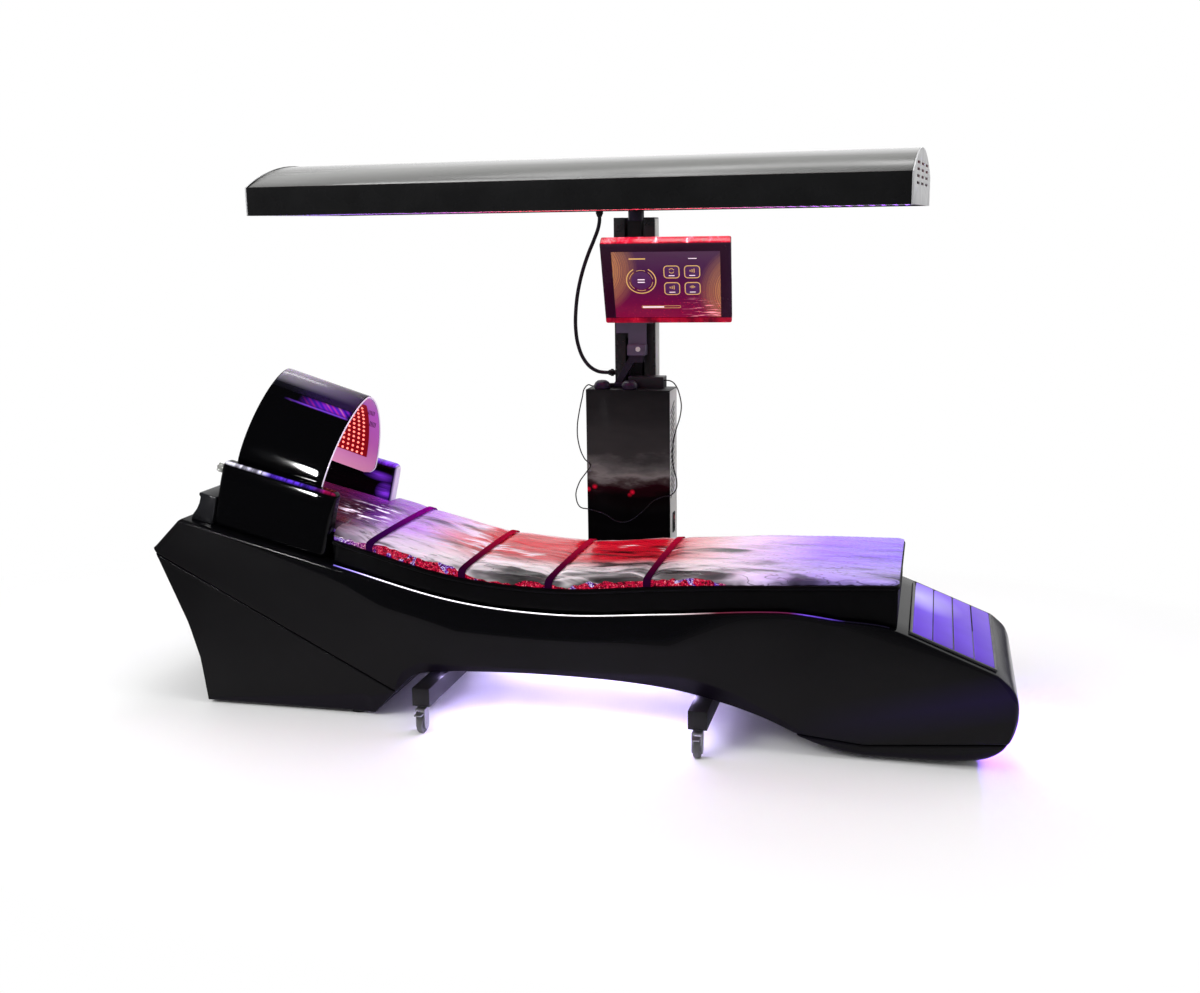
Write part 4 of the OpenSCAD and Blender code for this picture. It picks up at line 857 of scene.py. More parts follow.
# %% Rolled lip
ROLL, END = 0.0065, 0.902
rim_x = np.linspace(PILLOW_X + 0.006, END - 0.012, 150)
near_rim = points(rim_x, BED_Y - (0.250 - ROLL), pad_height(rim_x) - lip_drop(rim_x) - ROLL + 0.0015)
turn = np.linspace(0, quarter, 6)[1:]
z_end = near_rim[-1, 2]
near_side = np.vstack([near_rim[:-1], points(END - 0.0185 + 0.012 * np.sin(turn),
                                             BED_Y - 0.2315 - 0.012 * np.cos(turn), z_end)])
cross = points(END - ROLL, np.linspace(BED_Y - 0.22, BED_Y + 0.22, 30), z_end)
far_side = near_side[::-1] * (1, -1, 1) + (0, 2 * BED_Y, 0)
lip = flat_tube("mattress_lip", np.vstack([near_side, cross, far_side]), ROLL, ROLL)
hang(lip, "frame", "cushion_black", leather, "mattress_base")

# %% Film
CLEAR, HEM_ROWS, HEM = 0.0012, 6, 0.015
film_x = np.linspace(pad_lo.x + 0.003, pad_hi.x - 0.001, 420)
film_s = np.sin(np.linspace(-quarter, quarter, 112) * 0.96) / math.sin(quarter * 0.96)
X, S = np.meshgrid(film_x, film_s, indexing="ij")
W = half_width(X)
Y = S * W
warp = 0.03 * value_noise(X * 9, Y * 9, 1)


def fold_set(angle, along, over, shift):
    """Long folds: ridges of noise that is drawn out along one direction."""
    c, n = math.cos(math.radians(angle)), math.sin(math.radians(angle))
    return ridges((X * c + Y * n) * along + 8 * warp, (Y * c - X * n) * over + 16 * warp, shift)


folds = (0.0062 * fold_set(9, 3.0, 15, 2) + 0.0036 * fold_set(-15, 5.5, 27, 3)
         + 0.0010 * fold_set(24, 14, 60, 4))
pleats = 0.0012 * np.sin(X * 2 * math.pi / 0.022 + 3 * value_noise(X * 6, Y * 6, 5))
foot = np.clip((X - 0.50) / 0.12, 0, 1)
amount = (0.40 + 0.75 * np.clip((-S - 0.25) / 0.6, 0, 1)) * (1 - 0.7 * foot)
lift = (1 - 0.92 * strap_dip(X)) * (amount * folds + 0.35 * foot * pleats * (np.abs(S) < 0.97))
Z = pad_surface(X, S) + CLEAR + lift * np.clip((1 - np.abs(S)) / 0.04, 0.15, 1)
drop = np.linspace(0, 1, HEM_ROWS + 1)[1:, None]
flare = 0.0016 * np.sin(film_x * 140 + 5 * value_noise(film_x * 30, film_x * 0, 6)) * drop
hem_z = Z[:, 0] + (pad_height(film_x) - lip_drop(film_x) + 0.0015 - Z[:, 0]) * drop
near_hem = points(film_x, BED_Y - (W[:, 0] + CLEAR + flare), hem_z).transpose(1, 0, 2)
far_hem = near_hem * (1, -1, 1) + (0, 2 * BED_Y, 0)
sheet = np.concatenate([near_hem[:, ::-1], points(X, BED_Y + Y, Z), far_hem], 1)
film = surface("film_sheet", sheet, smooth=180)
# How far the band of painted glints reaches below the near edge, in millimetres.
glint_reach = [(-0.98, -3), (-0.62, -3), (-0.56, 0), (-0.52, 9), (-0.30, 9), (-0.265, 2), (-0.22, -9),
              (-0.12, -9), (-0.08, 2), (-0.02, -3), (0.03, -9), (0.09, 2), (0.20, 1), (0.25, 3), (0.40, 2),
              (0.46, -9), (0.50, -30)]
reach = line_of(np.array(glint_reach))(film_x) / 1000 + 0.008 * (value_noise(film_x * 70, film_x * 0, 8) - 0.5)
reach = reach[:, None]
ones = np.ones((len(film_x), HEM_ROWS))
mark(film, "across", np.concatenate([-ones, S, ones], 1))
mark(film, "foil", np.concatenate([reach + 0.012 * drop[::-1].T, reach - (1 + S) * W, -ones], 1))


def film_finish():
    """Clear film over pale foam, read as tone times tint.

    Tone: painted shade and reflection, dark at the near edge and white at the far one, cut by creases that
    run off along the bed, whose thin dark lines are painted shade.
    Tint: painted lamp light, violet at both ends, plain in between, with red patches painted where the red
    lamps stand over it.
    Below the near edge a band of painted glints glows red, violet towards the ends. Painted sparkles glow
    white and red near the head, where the film is painted dark as shade, and all of it glows faintly.
    """
    f = Finish("film_finish", Spec=0.16, Coat_Weight=0.12, Coat_Roughness=0.05)
    across, x = f.read("across"), f.coords.split()[0]

    def creases(angle, over, scale, seed):
        """Noise drawn out along a direction; a thin line follows its middle value."""
        turned = f.node("Mapping", {"Vector": f.coords, "Rotation": (0, 0, math.radians(angle)),
                                    "Scale": (5.0, over, 1), "Location": (seed, 0, 0)}, vector_type="TEXTURE")
        return turned.grain(scale, 2.5, 0.45, 0.6)

    def box(low, high, near, far):
        """1 inside a soft rectangle of length and width, 0 outside."""
        return (x.within(low - 0.02, low + 0.02, high - 0.02, high + 0.02)
                * across.within(near - 0.1, near + 0.1, far - 0.1, far + 0.1))

    cross_folds, fine = creases(-15, 0.8, 17.0, 1.7), creases(4, 0.7, 42.0, 4.1)
    wave = creases(9, 0.8, 11.0, 0.3) * 0.5 + cross_folds * 0.5
    calm = x.span(0.30, 0.62)
    # Painted shade and reflection: darker towards the near edge, lighter towards the far one.
    bias = across.span(-1.0, 0.7, -0.075, 0.150) * calm.span(0, 1, 1.0, 0.6)
    greys = [(0.35, 0.03), (0.42, 0.12), (0.46, 0.36), (0.49, 0.66), (0.56, 0.92), (0.66, 1.0)]
    tone = (wave + (bias + calm * 0.06)).ramp(*[(at, g, g, g) for at, g in greys])
    # Thin dark lines along the creases: painted shade.
    line = abs(cross_folds * 0.75 + fine * 0.25 - 0.5)
    tone = (line.span(0.011, 0.0) * across.span(-1.0, 0.9, 0.75, 0.12)).mix(tone, (0.05, 0.05, 0.05))
    # The tint is painted lamp light, not a colour of the film.
    tint = x.span(-1.0, 0.92).ramp(
        (0.0, 0.14, 0.01, 0.05), (0.12, 0.20, 0.02, 0.14), (0.20, 0.34, 0.06, 0.72), (0.27, 0.60, 0.28, 0.95),
        (0.35, 0.97, 0.80, 0.94), (0.5, 0.97, 0.93, 0.92), (0.70, 1.0, 0.86, 0.88), (0.78, 0.86, 0.62, 0.98),
        (0.88, 0.34, 0.15, 1.0), (1.0, 0.22, 0.11, 0.85))
    peak = x.span(-0.42, 0.02, 0.50, 0.34)
    # Red patches of painted lamp light under the red lamps.
    red_lamp_light = f.noise(4.0, 3, (0.8, 3.0, 1), 0.58).span(peak, peak + 0.05)
    middle = x.within(-0.48, -0.30, 0.24, 0.46) * across.within(-0.70, -0.25, 0.80, 1.0)
    colour = tone.tinted((red_lamp_light * middle).mix(tint, (0.62, 0.004, 0.022)))
    plain = across.span(-0.15, -0.75, 0.0, 0.75) * x.span(0.30, 0.55, 1.0, 0.45)
    colour = plain.mix(colour, tone.tinted((0.80, 0.77, 0.79)))
    # Painted shade: the head end of the film towards the hood is darkened.
    colour = (x.span(-0.55, -0.67) * across.span(0.9, 0.2)).mix(colour, (0.020, 0.002, 0.012))
    # A band of painted glints below the near edge: red, and violet towards the ends.
    strip, shards = f.read("foil").span(0.0, 0.0008), f.coords.grain(105.0, 1.0, twist=2.4)
    red = shards.ramp((0.38, 0.02, 0.0, 0.003), (0.46, 0.30, 0.0, 0.022), (0.56, 0.66, 0.002, 0.045),
                      (0.64, 0.80, 0.01, 0.07), (0.72, 1.0, 0.40, 0.45))
    violet = shards.ramp((0.42, 0.03, 0.0, 0.10), (0.54, 0.20, 0.05, 0.75), (0.64, 0.9, 0.85, 1.0))
    cool = f.coords.grain(34.0, 1.0).span(0.62, 0.65)
    glint = (cool | (x.span(-0.50, -0.62) | x.span(0.42, 0.55))).mix(red, violet)
    # Painted sparkles near the head end: white, and red closer to the hood.
    spark = f.noise(30.0, 2, (0.55, 2.4, 1.0), 0.5).span(0.55, 0.64)
    cold, warm = box(-0.71, -0.575, -0.40, 0.35) * spark, box(-0.775, -0.735, -0.75, -0.10) * spark
    colour = warm.mix(cold.mix(colour, (0.85, 0.82, 1.0)), (1.0, 0.10, 0.03))
    f.put(Base_Color=strip.mix(colour, (0.03, 0.001, 0.004)), Roughness=fine.drift(0.16, 0.34))
    # The painted colours glow by themselves: faintly all over, strongly in the glints and sparkles.
    f.light(strip.mix(colour, glint), (strip | (cold | warm)).span(0, 1, 0.16, 0.85))
    return f.bump(wave + fine * 0.10, 0.7, 0.014)


hang(film, "frame", "film", film_finish(), "film_cover")

# %% Straps
BAND_HALF, BAND_THICK = 0.0108, 0.00075


def strap(x0):
    """Webbing over the pad: a flat band with rounded edges, down to the lip on both sides."""
    s = np.concatenate([-np.ones(4), np.linspace(-1, 1, 61)[1:-1], np.ones(4)])
    wide = PAD_HALF + 0.0035
    over = np.where(np.abs(s) < 1, s * wide, np.sign(s) * (wide + 0.0005))
    z_lip = float(pad_height(np.array(x0)) - lip_drop(np.array(x0))) + 0.001
    fall = np.concatenate([np.linspace(1, 0, 5)[:-1], np.zeros(59), np.linspace(0, 1, 5)[1:]])
    mid = points(x0, BED_Y + over, (pad_surface(np.full_like(s, x0), s) + 0.0052) * (1 - fall) + z_lip * fall)
    out = np.cross((1.0, 0, 0), unit(np.gradient(mid, axis=0)))
    angle = np.linspace(0, 2 * np.pi, 16, endpoint=False)
    round_off = lambda wave, power: np.sign(wave) * np.abs(wave)**power
    wide = BAND_HALF * round_off(np.cos(angle), 0.35)[None, :, None]
    thick = BAND_THICK * round_off(np.sin(angle), 0.7)[None, :, None]
    slope = float((deck(x0 + 0.01) - deck(x0 - 0.01)) / 0.02)
    return surface("strap_part", mid[:, None] + wide * (1, 0, slope * 0.9) + thick * out[:, None],
                   around=True, caps=True, smooth=50)


def webbing_finish():
    """Red webbing over the body and violet webbing at the head; painted shade makes it dark on the near
    side and paler on the far side.
    """
    f = Finish("strap_webbing", Spec=0.0)
    x, y, _ = f.coords.split()
    # Painted shade and light: darkest on the near side, palest on the far side.
    across = y.span(BED_Y - 0.24, BED_Y + 0.2)
    red = across.ramp((0.0, 0.018, 0.001, 0.018), (0.3, 0.090, 0.002, 0.026), (0.9, 0.42, 0.006, 0.034))
    violet = across.ramp((0.0, 0.016, 0.001, 0.030), (0.4, 0.060, 0.002, 0.110), (1.0, 0.30, 0.003, 0.32))
    f.put(Base_Color=x.span(-0.40, -0.42).mix(red, violet)).gloss(0.35, 0.5, 30.0)
    weave = f.node("TexWave", {"Vector": f.coords, "Scale": 240.0, "Distortion": 0.4}, "Fac",
                   bands_direction="Y")
    return f.bump(weave, 0.3, 0.0004)


hang(join("strap_set", [strap(x) for x in STRAPS]), "frame", "strap", webbing_finish(), "straps")

# %% [markdown]
# ## Copies of the plain solids
#
# Many rigid parts have the right shape already. What they lack is a softened edge that catches
# the light. So their solids are copied, their loose triangles merged, and the edges bevelled.

# %% Bevelled copies
def flatten(bm):
    """Merges the triangles of a flat face."""
    bmesh.ops.dissolve_limit(bm, angle_limit=math.radians(1.0), verts=bm.verts, edges=bm.edges)


def dress(node, width, look, slot, segments=2):
    """A copy of a plain solid on the same body, its edges bevelled by a width in millimetres."""
    obj = copy_of(node, node + "_dressed", 2e-5, flatten)
    modify(obj, "BEVEL", width=width / 1000, segments=segments, limit_method="ANGLE",
           angle_limit=math.radians(32), use_clamp_overlap=True)
    apply_modifiers(obj)
    obj.data.shade_smooth()
    obj.data.set_sharp_from_angle(angle=math.radians(28))
    return hang(obj, body_of(node), slot, look, node)


def body_of(node):
    """Name of the body that a node rides on."""
    return nodes[node].parent.name.split(":")[1]


# %% [markdown]
# ## Wings and hood
#
# The wings are hollow mouldings with generous corner radii, so each is a rounded block: the
# points of a grid box are drawn in to an inner box and pushed out again by the radius. The hood is
# an arch with a flatter top than a circle: its profile follows a power curve, and a slightly
# raised cap leaves a step along each side.

# %% Rounded blocks
def shifted(x, y, z):
    """Matrix of a shift."""
    return Matrix.Translation((x, y, z))


def turned(angle, axis):
    """Matrix of a turn about an axis."""
    return Matrix.Rotation(angle, 4, axis)


back_frame = shifted(-1.108, BED_Y, 0.551) @ turned(BACK_TILT, "Y")


def rounded_block(name, size, bend, cuts, steps=5):
    """A box with every edge and corner rounded by one radius, centred on the origin."""
    half = np.array(size) / 2
    stops, corners, faces, start = [], [], [], 0
    for h, n in zip(half, cuts):
        edge = h - bend + bend * np.tan(np.linspace(0, math.pi / 4, steps + 1))
        inner = np.linspace(bend - h, h - bend, n + 1)[1:-1]
        stops.append(np.concatenate([-edge[::-1], inner, edge]))
    for k in range(3):
        i, j = (k + 1) % 3, (k + 2) % 3
        A, B = np.meshgrid(stops[i], stops[j], indexing="ij")
        for side in (1, -1):
            p = np.zeros((*A.shape, 3))
            p[..., i], p[..., j], p[..., k] = A, B, side * half[k]
            core = np.clip(p, bend - half, half - bend)
            far = np.maximum(np.linalg.norm(p - core, axis=-1, keepdims=True), 1e-9)
            quads = grid_faces(*A.shape, start=start)
            faces += quads if side > 0 else [q[::-1] for q in quads]
            corners.append((core + bend * (p - core) / far).reshape(-1, 3))
            start += A.size
    obj = mesh_object(name, np.vstack(corners), faces, 60)
    weld(obj.data, 1e-6)
    obj.data.shade_smooth()
    return obj


# %% Wings
WING = (0.355, 0.052, 0.195)


def crown(obj, side):
    """Bends the outer face back towards the top and both ends, as a moulding is drawn."""
    co = corners_of(obj)
    out = np.clip(co[:, 1] * side / 0.026, 0, 1)
    up = np.clip((co[:, 2] - (WING[2] / 2 - 0.075)) / 0.075, 0, 1)
    ends = np.clip((np.abs(co[:, 0]) - 0.12) / 0.0575, 0, 1)
    co[:, 1] -= side * out * (0.010 * up**2 + 0.004 * ends**2)
    obj.data.vertices.foreach_set("co", co.ravel())
    return obj


def wing_finish(side):
    """Polished black, with painted reflections of the lamps above that glow by themselves: pale, violet and
    red along the upper edge and at the foot end, and violet patches on the inner face of the far wing.
    """
    f = Finish("wing_black_" + ("near" if side < 0 else "far"), Spec=0.12)
    spot = f.read("place", "Vector")
    x, y, z = spot.split()
    streak = spot.times(60, 6, 6).grain(1.0, 3.0, 0.7)

    def patch(cx, cz, rx, rz):
        """A soft oval patch of painted reflection on the inner face."""
        return spot.times(1 / rx, 0, 1 / rz).away(cx / rx, 0, cz / rz).span(1.25, 0.0)

    # Colours of the painted reflection along the top edge: pale at the head end, violet, red at the foot end.
    hue = x.span(-0.17, 0.17).ramp((0.0, 0.75, 0.75, 0.85), (0.33, 0.70, 0.68, 0.9),
                                   (0.42, 0.10, 0.03, 0.65), (0.8, 0.09, 0.03, 0.60),
                                   (0.92, 0.30, 0.005, 0.06))
    # A thin painted line of reflection along the near top edge.
    edge = y.within(-0.024, -0.019, -0.010, -0.006)
    top = z.span(0.088, 0.094) * edge * streak.span(0.40, 0.58, 0.15, 1.0)
    if side > 0:
        # Far wing: painted violet reflection patches on the inner face and a painted top face.
        inner = patch(0.125, 0.052, 0.050, 0.014) * 0.8 | patch(0.155, 0.004, 0.030, 0.030)
        bands = spot.times(9, 6, 90).grain().span(0.32, 0.62, 0.25, 1.0)
        face = inner * bands * y.span(-0.024, -0.0255)
        hue = face.mix((0.24, 0.04, 0.95), (0.30, 0.05, 0.95))
        # A painted pale highlight on the foot end.
        hue = x.span(0.168, 0.175).mix(hue, (0.85, 0.75, 1.0))
        top = z.span(0.088, 0.095) * streak.span(0.35, 0.6, 0.35, 1.0)
        top = top | face | x.span(0.170, 0.176, 0.0, 0.8)
    # The painted reflections glow by themselves.
    return f.put(Base_Color=top.mix(DEEP_BLACK, hue)).light(hue, top * 0.45).gloss(0.03, 0.06, 7.0, 3)


for side, node in ((-1, "wing_near"), (1, "wing_far")):
    block = crown(rounded_block(node + "_block", WING, 0.016, (28, 4, 22)), side)
    keep_place(block, back_frame @ shifted(0.089 + WING[0] / 2, side * 0.216, WING[2] / 2))
    hang(block, "frame", "shell_black", wing_finish(side), node)

# %% Hood
HOOD_W, HOOD_H, SPRING, ROUND = 0.186, 0.278, 0.030, 1.65
hood_frame = back_frame @ shifted(0.134, 0, 0.167) @ turned(math.radians(3.3), "Y")


def hood_profile(n, grow=0.0):
    """An arch from foot to foot: straight to the spring line, then a power curve to the crown."""
    w, h = HOOD_W + grow, HOOD_H + grow
    rise = (h - SPRING) * np.sin(np.linspace(0, quarter, n))
    half = np.concatenate([np.full(8, w), w * (1 - (rise / (h - SPRING))**ROUND)**(1 / ROUND)])
    b = np.concatenate([np.linspace(-0.004, SPRING, 9)[:-1], SPRING + rise])
    return np.concatenate([-half, half[::-1][1:]]), np.concatenate([b, b[::-1][1:]])


def arch_band(name, a0, a1, grow, wall, a_steps=12, half=1.0, corner=0.0, whole=False):
    """An arched wall with rounded ends, out to a half width. The foot corners in front are rounded too."""
    outer, inner = (np.stack(hood_profile(40, g), -1) for g in (grow, grow - wall))
    keep = np.abs(outer[:, 0]) <= half
    outer, inner = outer[keep], inner[keep]
    turn = np.linspace(0, math.pi, 9)
    depth, bulge = (1 - np.cos(turn))[1:-1] / 2, np.sin(turn)[1:-1] * wall / 2
    a = np.linspace(a0 + wall / 2, a1 - wall / 2, a_steps)
    ring_a = np.concatenate([a, a[-1] + bulge, a[::-1], a[0] - bulge])
    ring_m = np.concatenate([np.zeros(a_steps), depth, np.ones(a_steps), depth[::-1]])[None, :, None]
    cut = cut_in(outer[:, 1] - outer[:, 1].min(), corner)
    share = np.ones_like(ring_a) if whole else np.clip((ring_a - a0) / (a1 - a0), 0, 1)
    ring = ring_a - cut[:, None] * share
    grid = np.concatenate([ring[..., None], outer[:, None] * (1 - ring_m) + inner[:, None] * ring_m], -1)
    return surface(name, grid, around=True, caps=True, smooth=50, flip=True)


def hood_finish():
    """Polished black. Just in front of the top plate a painted reflection of the coloured lamps, a broken
    stripe, glows by itself.
    """
    f = Finish("hood_black", Spec=0.12)
    x, y, _ = f.read("place", "Vector").split()
    # Masks of the painted reflection stripe.
    streaks = y.within(-0.100, -0.092, -0.084, -0.076) * x.span(0.07, 0.15)
    line = y.within(-0.1015, -0.099, -0.098, -0.0955)
    stripe = (streaks | line) * x.within(0.03, 0.10, 0.225, 0.238)
    slant = f.node("CombineXYZ", {"X": (x + y * 1.9) * 62.0, "Y": y * 10.0})
    hue = slant.grain(1.0, 0.0).ramp((0.25, 0.02, 0.0, 0.12), (0.42, 0.09, 0.02, 0.70),
                                     (0.52, 0.22, 0.02, 0.75), (0.62, 0.62, 0.03, 0.60),
                                     (0.76, 0.80, 0.60, 1.0))
    f.put(Base_Color=stripe.mix(DEEP_BLACK, (0.01, 0.0, 0.02)))
    # The painted reflection glows by itself.
    return f.light(line.mix(hue, (0.26, 0.08, 0.95)), stripe * 0.7).gloss(0.03, 0.06, 7.0, 3)


def cap_finish():
    """Top plate with a painted reflection: black along its edge, a painted grey sheen over the crest, darker
    towards the front.
    """
    f = Finish("cap_smoke", Spec=0.3)
    x, y, _ = f.read("place", "Vector").split()
    # Painted reflection: black at the edges, grey over the crest.
    grey = abs(y).span(0.080, 0.0).ramp((0.0, 0.0015, 0.0012, 0.003), (0.18, 0.004, 0.004, 0.008),
                                        (0.36, 0.17, 0.165, 0.19), (1.0, 0.46, 0.45, 0.48))
    f.put(Base_Color=x.span(0.04, 0.25, 0.0, 0.93).mix(grey, (0.012, 0.009, 0.026)))
    return f.gloss(0.14, 0.20, 8.0)


def liner_finish():
    """Pale moulding in painted violet light that glows by itself: pinker towards its foot, more violet
    towards the crown.
    """
    f = Finish("liner_skin", Roughness=0.35, Spec=0.4)
    _, _, z = f.read("place", "Vector").split()
    hue = z.span(0.0, 0.25).ramp((0.0, 0.72, 0.30, 0.52), (0.35, 0.60, 0.16, 0.56), (0.8, 0.58, 0.14, 0.70),
                                 (1.0, 0.45, 0.20, 0.60))
    # The painted light glows by itself.
    return f.put(Base_Color=hue).light(hue, 0.30).bump(f.noise(200.0, 2), 0.05, 0.0004)


FRONT = 0.2395
for band, slot, look, node in (
        (arch_band("hood_arch", -0.026, 0.242, 0.0, 0.004, corner=0.03),
         "shell_black", hood_finish(), "hood_shell"),
        (arch_band("hood_cap", -0.022, 0.238, 0.0022, 0.003, half=0.080),
         "shell_black", cap_finish(), "hood_shell"),
        (arch_band("hood_rim", FRONT, FRONT + 0.004, 0.0006, 0.0050, a_steps=3, corner=0.03, whole=True),
         "liner", glow("rim_white", (0.66, 0.58, 0.72), 0.55), "hood_liner"),
        (arch_band("hood_lining", 0.020, 0.2405, -0.0045, 0.003, corner=0.03),
         "liner", liner_finish(), "hood_liner")):
    hang(keep_place(band, hood_frame), "hood", slot, look, node)

# %% Red lamps and slots in the hood
inner_y, inner_z = hood_profile(300, -0.0095)
walk = np.concatenate([[0], np.cumsum(np.hypot(np.diff(inner_y), np.diff(inner_z)))])


def on_arch(s):
    """Points and inward normals on the lamp board at distances along its arch."""
    (y, z), (y1, z1) = ([np.interp(at, walk, line) for line in (inner_y, inner_z)] for at in (s, s + 1e-3))
    size = np.hypot(y1 - y, z1 - z)
    return y, z, (z1 - z) / size, (y - y1) / size


def beads(name, a, s, radius=0.0040, sides=8):
    """Small domes standing on the board, one for each pair of length and arch distance."""
    y, z, ny, nz = on_arch(s)
    centre, out = points(a, y, z)[:, None], points(0, ny, nz)[:, None]
    one = np.array((1.0, 0, 0))
    t = np.linspace(0, 2 * math.pi, sides, endpoint=False)[:, None]
    around = np.cos(t) * one + np.sin(t) * np.cross(out, one)
    rings = [centre + radius * around, centre + 0.72 * radius * around + 0.55 * radius * out]
    corners = np.concatenate([*rings, centre + 0.8 * radius * out, centre], 1)
    k, top, foot = np.arange(sides), 2 * sides, 2 * sides + 1
    nxt = (k + 1) % sides
    faces = [f for i in range(sides) for f in ((k[i], nxt[i], sides + nxt[i], sides + k[i]),
                                               (sides + k[i], sides + nxt[i], top), (nxt[i], k[i], foot))]
    faces = [tuple(int(v) + (foot + 1) * i for v in f) for i in range(len(a)) for f in faces]
    return mesh_object(name, corners, faces, 60)


PITCH = 0.0165
lamp_s = np.arange(0.05, walk[-1] - 0.05, PITCH)
lamp_s = [s for s in lamp_s if 0.052 < np.interp(s, walk, inner_z) < 0.222]
lamp_a, lamp_s = np.meshgrid(np.arange(0.059, 0.205, PITCH), lamp_s, indexing="ij")
lamps = settle(beads("hood_lamps", lamp_a.ravel(), lamp_s.ravel()), hood_frame)
hang(lamps, "hood", "led_red", glow("lamp_red", (1.0, 0.20, 0.16), 2.2), "hood_leds")


def slot_bar(a, s0, length=0.022, slant=-0.005, width=0.0018):
    """A thin dark bar on the liner, for the shadow of a slot."""
    t = np.linspace(0, 1, 5)
    y, z, ny, nz = on_arch(s0 + length * t)
    mid, out = points(a + slant * t, y - 0.0016 * ny, z - 0.0016 * nz), points(0, ny, nz)
    section = [(-width / 2, 0), (-width / 2, 0.0004), (width / 2, 0.0004), (width / 2, 0)]
    grid = np.stack([mid + (w, 0, 0) + h * out for w, h in section], 1)
    return surface("slot_bar", grid, around=True, caps=True, smooth=30)


middle = len(inner_z) // 2
slot_s = [float(np.interp(-z, -inner_z[middle:], walk[middle:])) for z in (0.212, 0.172)]
slots = join("hood_slots", [slot_bar(0.2135 + 0.0045 * i, s) for s in slot_s for i in range(5)])
hang(settle(slots, hood_frame), "hood", "liner",
     finish("slot_shadow", (0.04, 0.004, 0.05), 0.5, 0.6, grain=300.0))

# %% [markdown]
# ## Foot deck
#
# Four lit tiles lie in a frame on the foot slope. Each is a thin diffuser with rounded corners,
# bright near the top where its lamps sit and deeper violet below.

# %% Foot deck tiles
def round_corners(width, height, corner, n=8):
    """Outline of a rectangle with round corners, and the way out at each of its points."""
    turn = (np.linspace(0, quarter, n) + quarter * np.arange(4)[:, None]).ravel()
    way = np.stack([np.cos(turn), np.sin(turn)], -1)
    centre = np.repeat([(1, 1), (-1, 1), (-1, -1), (1, -1)], n, axis=0)
    return centre * (width / 2 - corner, height / 2 - corner) + corner * way, way


def plate(name, width, height, thick, corner, edge, n=8):
    """A flat plate in XY with round corners and a softly rounded upper edge."""
    outline, way = round_corners(width, height, corner, n)
    rings = [(0, 0.0)] + [(edge * (1 - math.cos(a)), thick - edge + edge * math.sin(a))
                          for a in np.linspace(0, quarter, 5)]
    grid = np.array([points(*(outline - way * inset).T, z) for inset, z in rings])
    return surface(name, grid, around=True, caps=True, smooth=40)


def tile_finish():
    """A violet diffuser, deeper towards the near side, with a pale spot below the first lamp."""
    f = Finish("tile_violet", Roughness=0.3, Spec=0.05, Base_Color=(0.03, 0.012, 0.12))
    x, y, _ = f.coords.split()
    base = y.span(BED_Y - 0.235, BED_Y + 0.235).ramp((0.0, 0.11, 0.035, 0.56), (0.45, 0.16, 0.06, 0.78),
                                                     (0.80, 0.20, 0.09, 0.80), (1.0, 0.24, 0.12, 0.85))
    spot = f.coords.away(0.945, BED_Y + 0.11, 0.33).span(0.13, 0.01, 0.0, 0.85)
    fall, drift = x.span(0.93, 1.12, 1.0, 0.72), f.noise(7.0, 2).drift(0.85, 1.1)
    return f.light(spot.mix(base, (0.62, 0.56, 1.0)), fall * drift)


foot_frame = shifted(0.915, BED_Y, 0.344) @ turned(FOOT_TILT, "Y")
TILE_WIDE, TILE_LONG, TILE_PITCH = 0.0515, 0.4635, 0.055
tiles = [settle(plate("tile_part", TILE_WIDE, TILE_LONG, 0.0050, 0.007, 0.0012),
                foot_frame @ shifted(0.046 + i * TILE_PITCH, 0, 0.0019)) for i in range(4)]
hang(join("tile_set", tiles), "frame", "tile_light", tile_finish(), "foot_tiles")

# %% [markdown]
# ## Lamp strips
#
# A strip is a thin diffuser profile. Its colour changes along the bed: white at the waist,
# violet towards head and foot, with a red stretch at the thighs where the lamps change over.

# %% Lamp strips
def strip_finish():
    """Colour by place along the bed; the strips below the bed are violet and far brighter."""
    f = Finish("strip_light", Roughness=0.3)
    along = f.coords.split()[0].span(-0.65, 0.91)
    under = f.read("under")
    colour = along.ramp(
        (0.0, 0.06, 0.04, 0.30), (0.05, 0.35, 0.28, 0.9), (0.10, 0.95, 0.9, 1.0), (0.60, 1.0, 0.97, 0.98),
        (0.66, 0.45, 0.35, 0.37), (0.70, 0.10, 0.012, 0.025), (0.82, 0.09, 0.006, 0.04),
        (0.845, 0.13, 0.05, 0.60), (0.885, 0.07, 0.03, 0.35), (0.91, 0.003, 0.002, 0.008))
    colour = under.span(1.2, 1.8).mix(under.mix(colour, (0.60, 0.50, 1.0)), (0.26, 0.12, 1.0))
    power = along.span(0.40, 0.55, 1.3, 0.8) * under.span(0, 1, 1, 0) + under * 110.0
    beads = f.noise(60.0, 1, (1, 0, 0)).drift(0.75, 1.15)
    return f.put(Base_Color=colour).light(colour, power * beads)


def strip(path, rx, rz, under):
    """One strip; `under` is 0 on the rim, 1 below the arch and 2 at the nose."""
    made = flat_tube("strip_part", path, rx, rz, 10)
    mark(made, "under", np.full(len(made.data.vertices), under))
    return made


x, under_x = np.linspace(-0.639, 0.879, 160), np.linspace(-0.339, 0.379, 160)
strips = [strip(points(x, BED_Y + side * 0.256, deck(x) + 0.0020), 0.0024, 0.0015, 0) for side in (-1, 1)]
strips += [strip(points(under_x, BED_Y + side * 0.230, arch(under_x) - 0.0027), 0.0059, 0.0022, 1)
           for side in (-1, 1)]
strips.append(strip(points(1.1945, BED_Y + np.linspace(-0.20, 0.20, 40), 0.092), 0.0026, 0.007, 2))
hang(join("lamp_strips", strips), "frame", "lamp_strip", strip_finish(), "light_strips")

# %% [markdown]
# ## Floor frame, casters, feet and cowl
#
# These parts need softened edges and nothing more, so short tables say which finish, which slot
# and how wide a bevel in millimetres each of them gets.

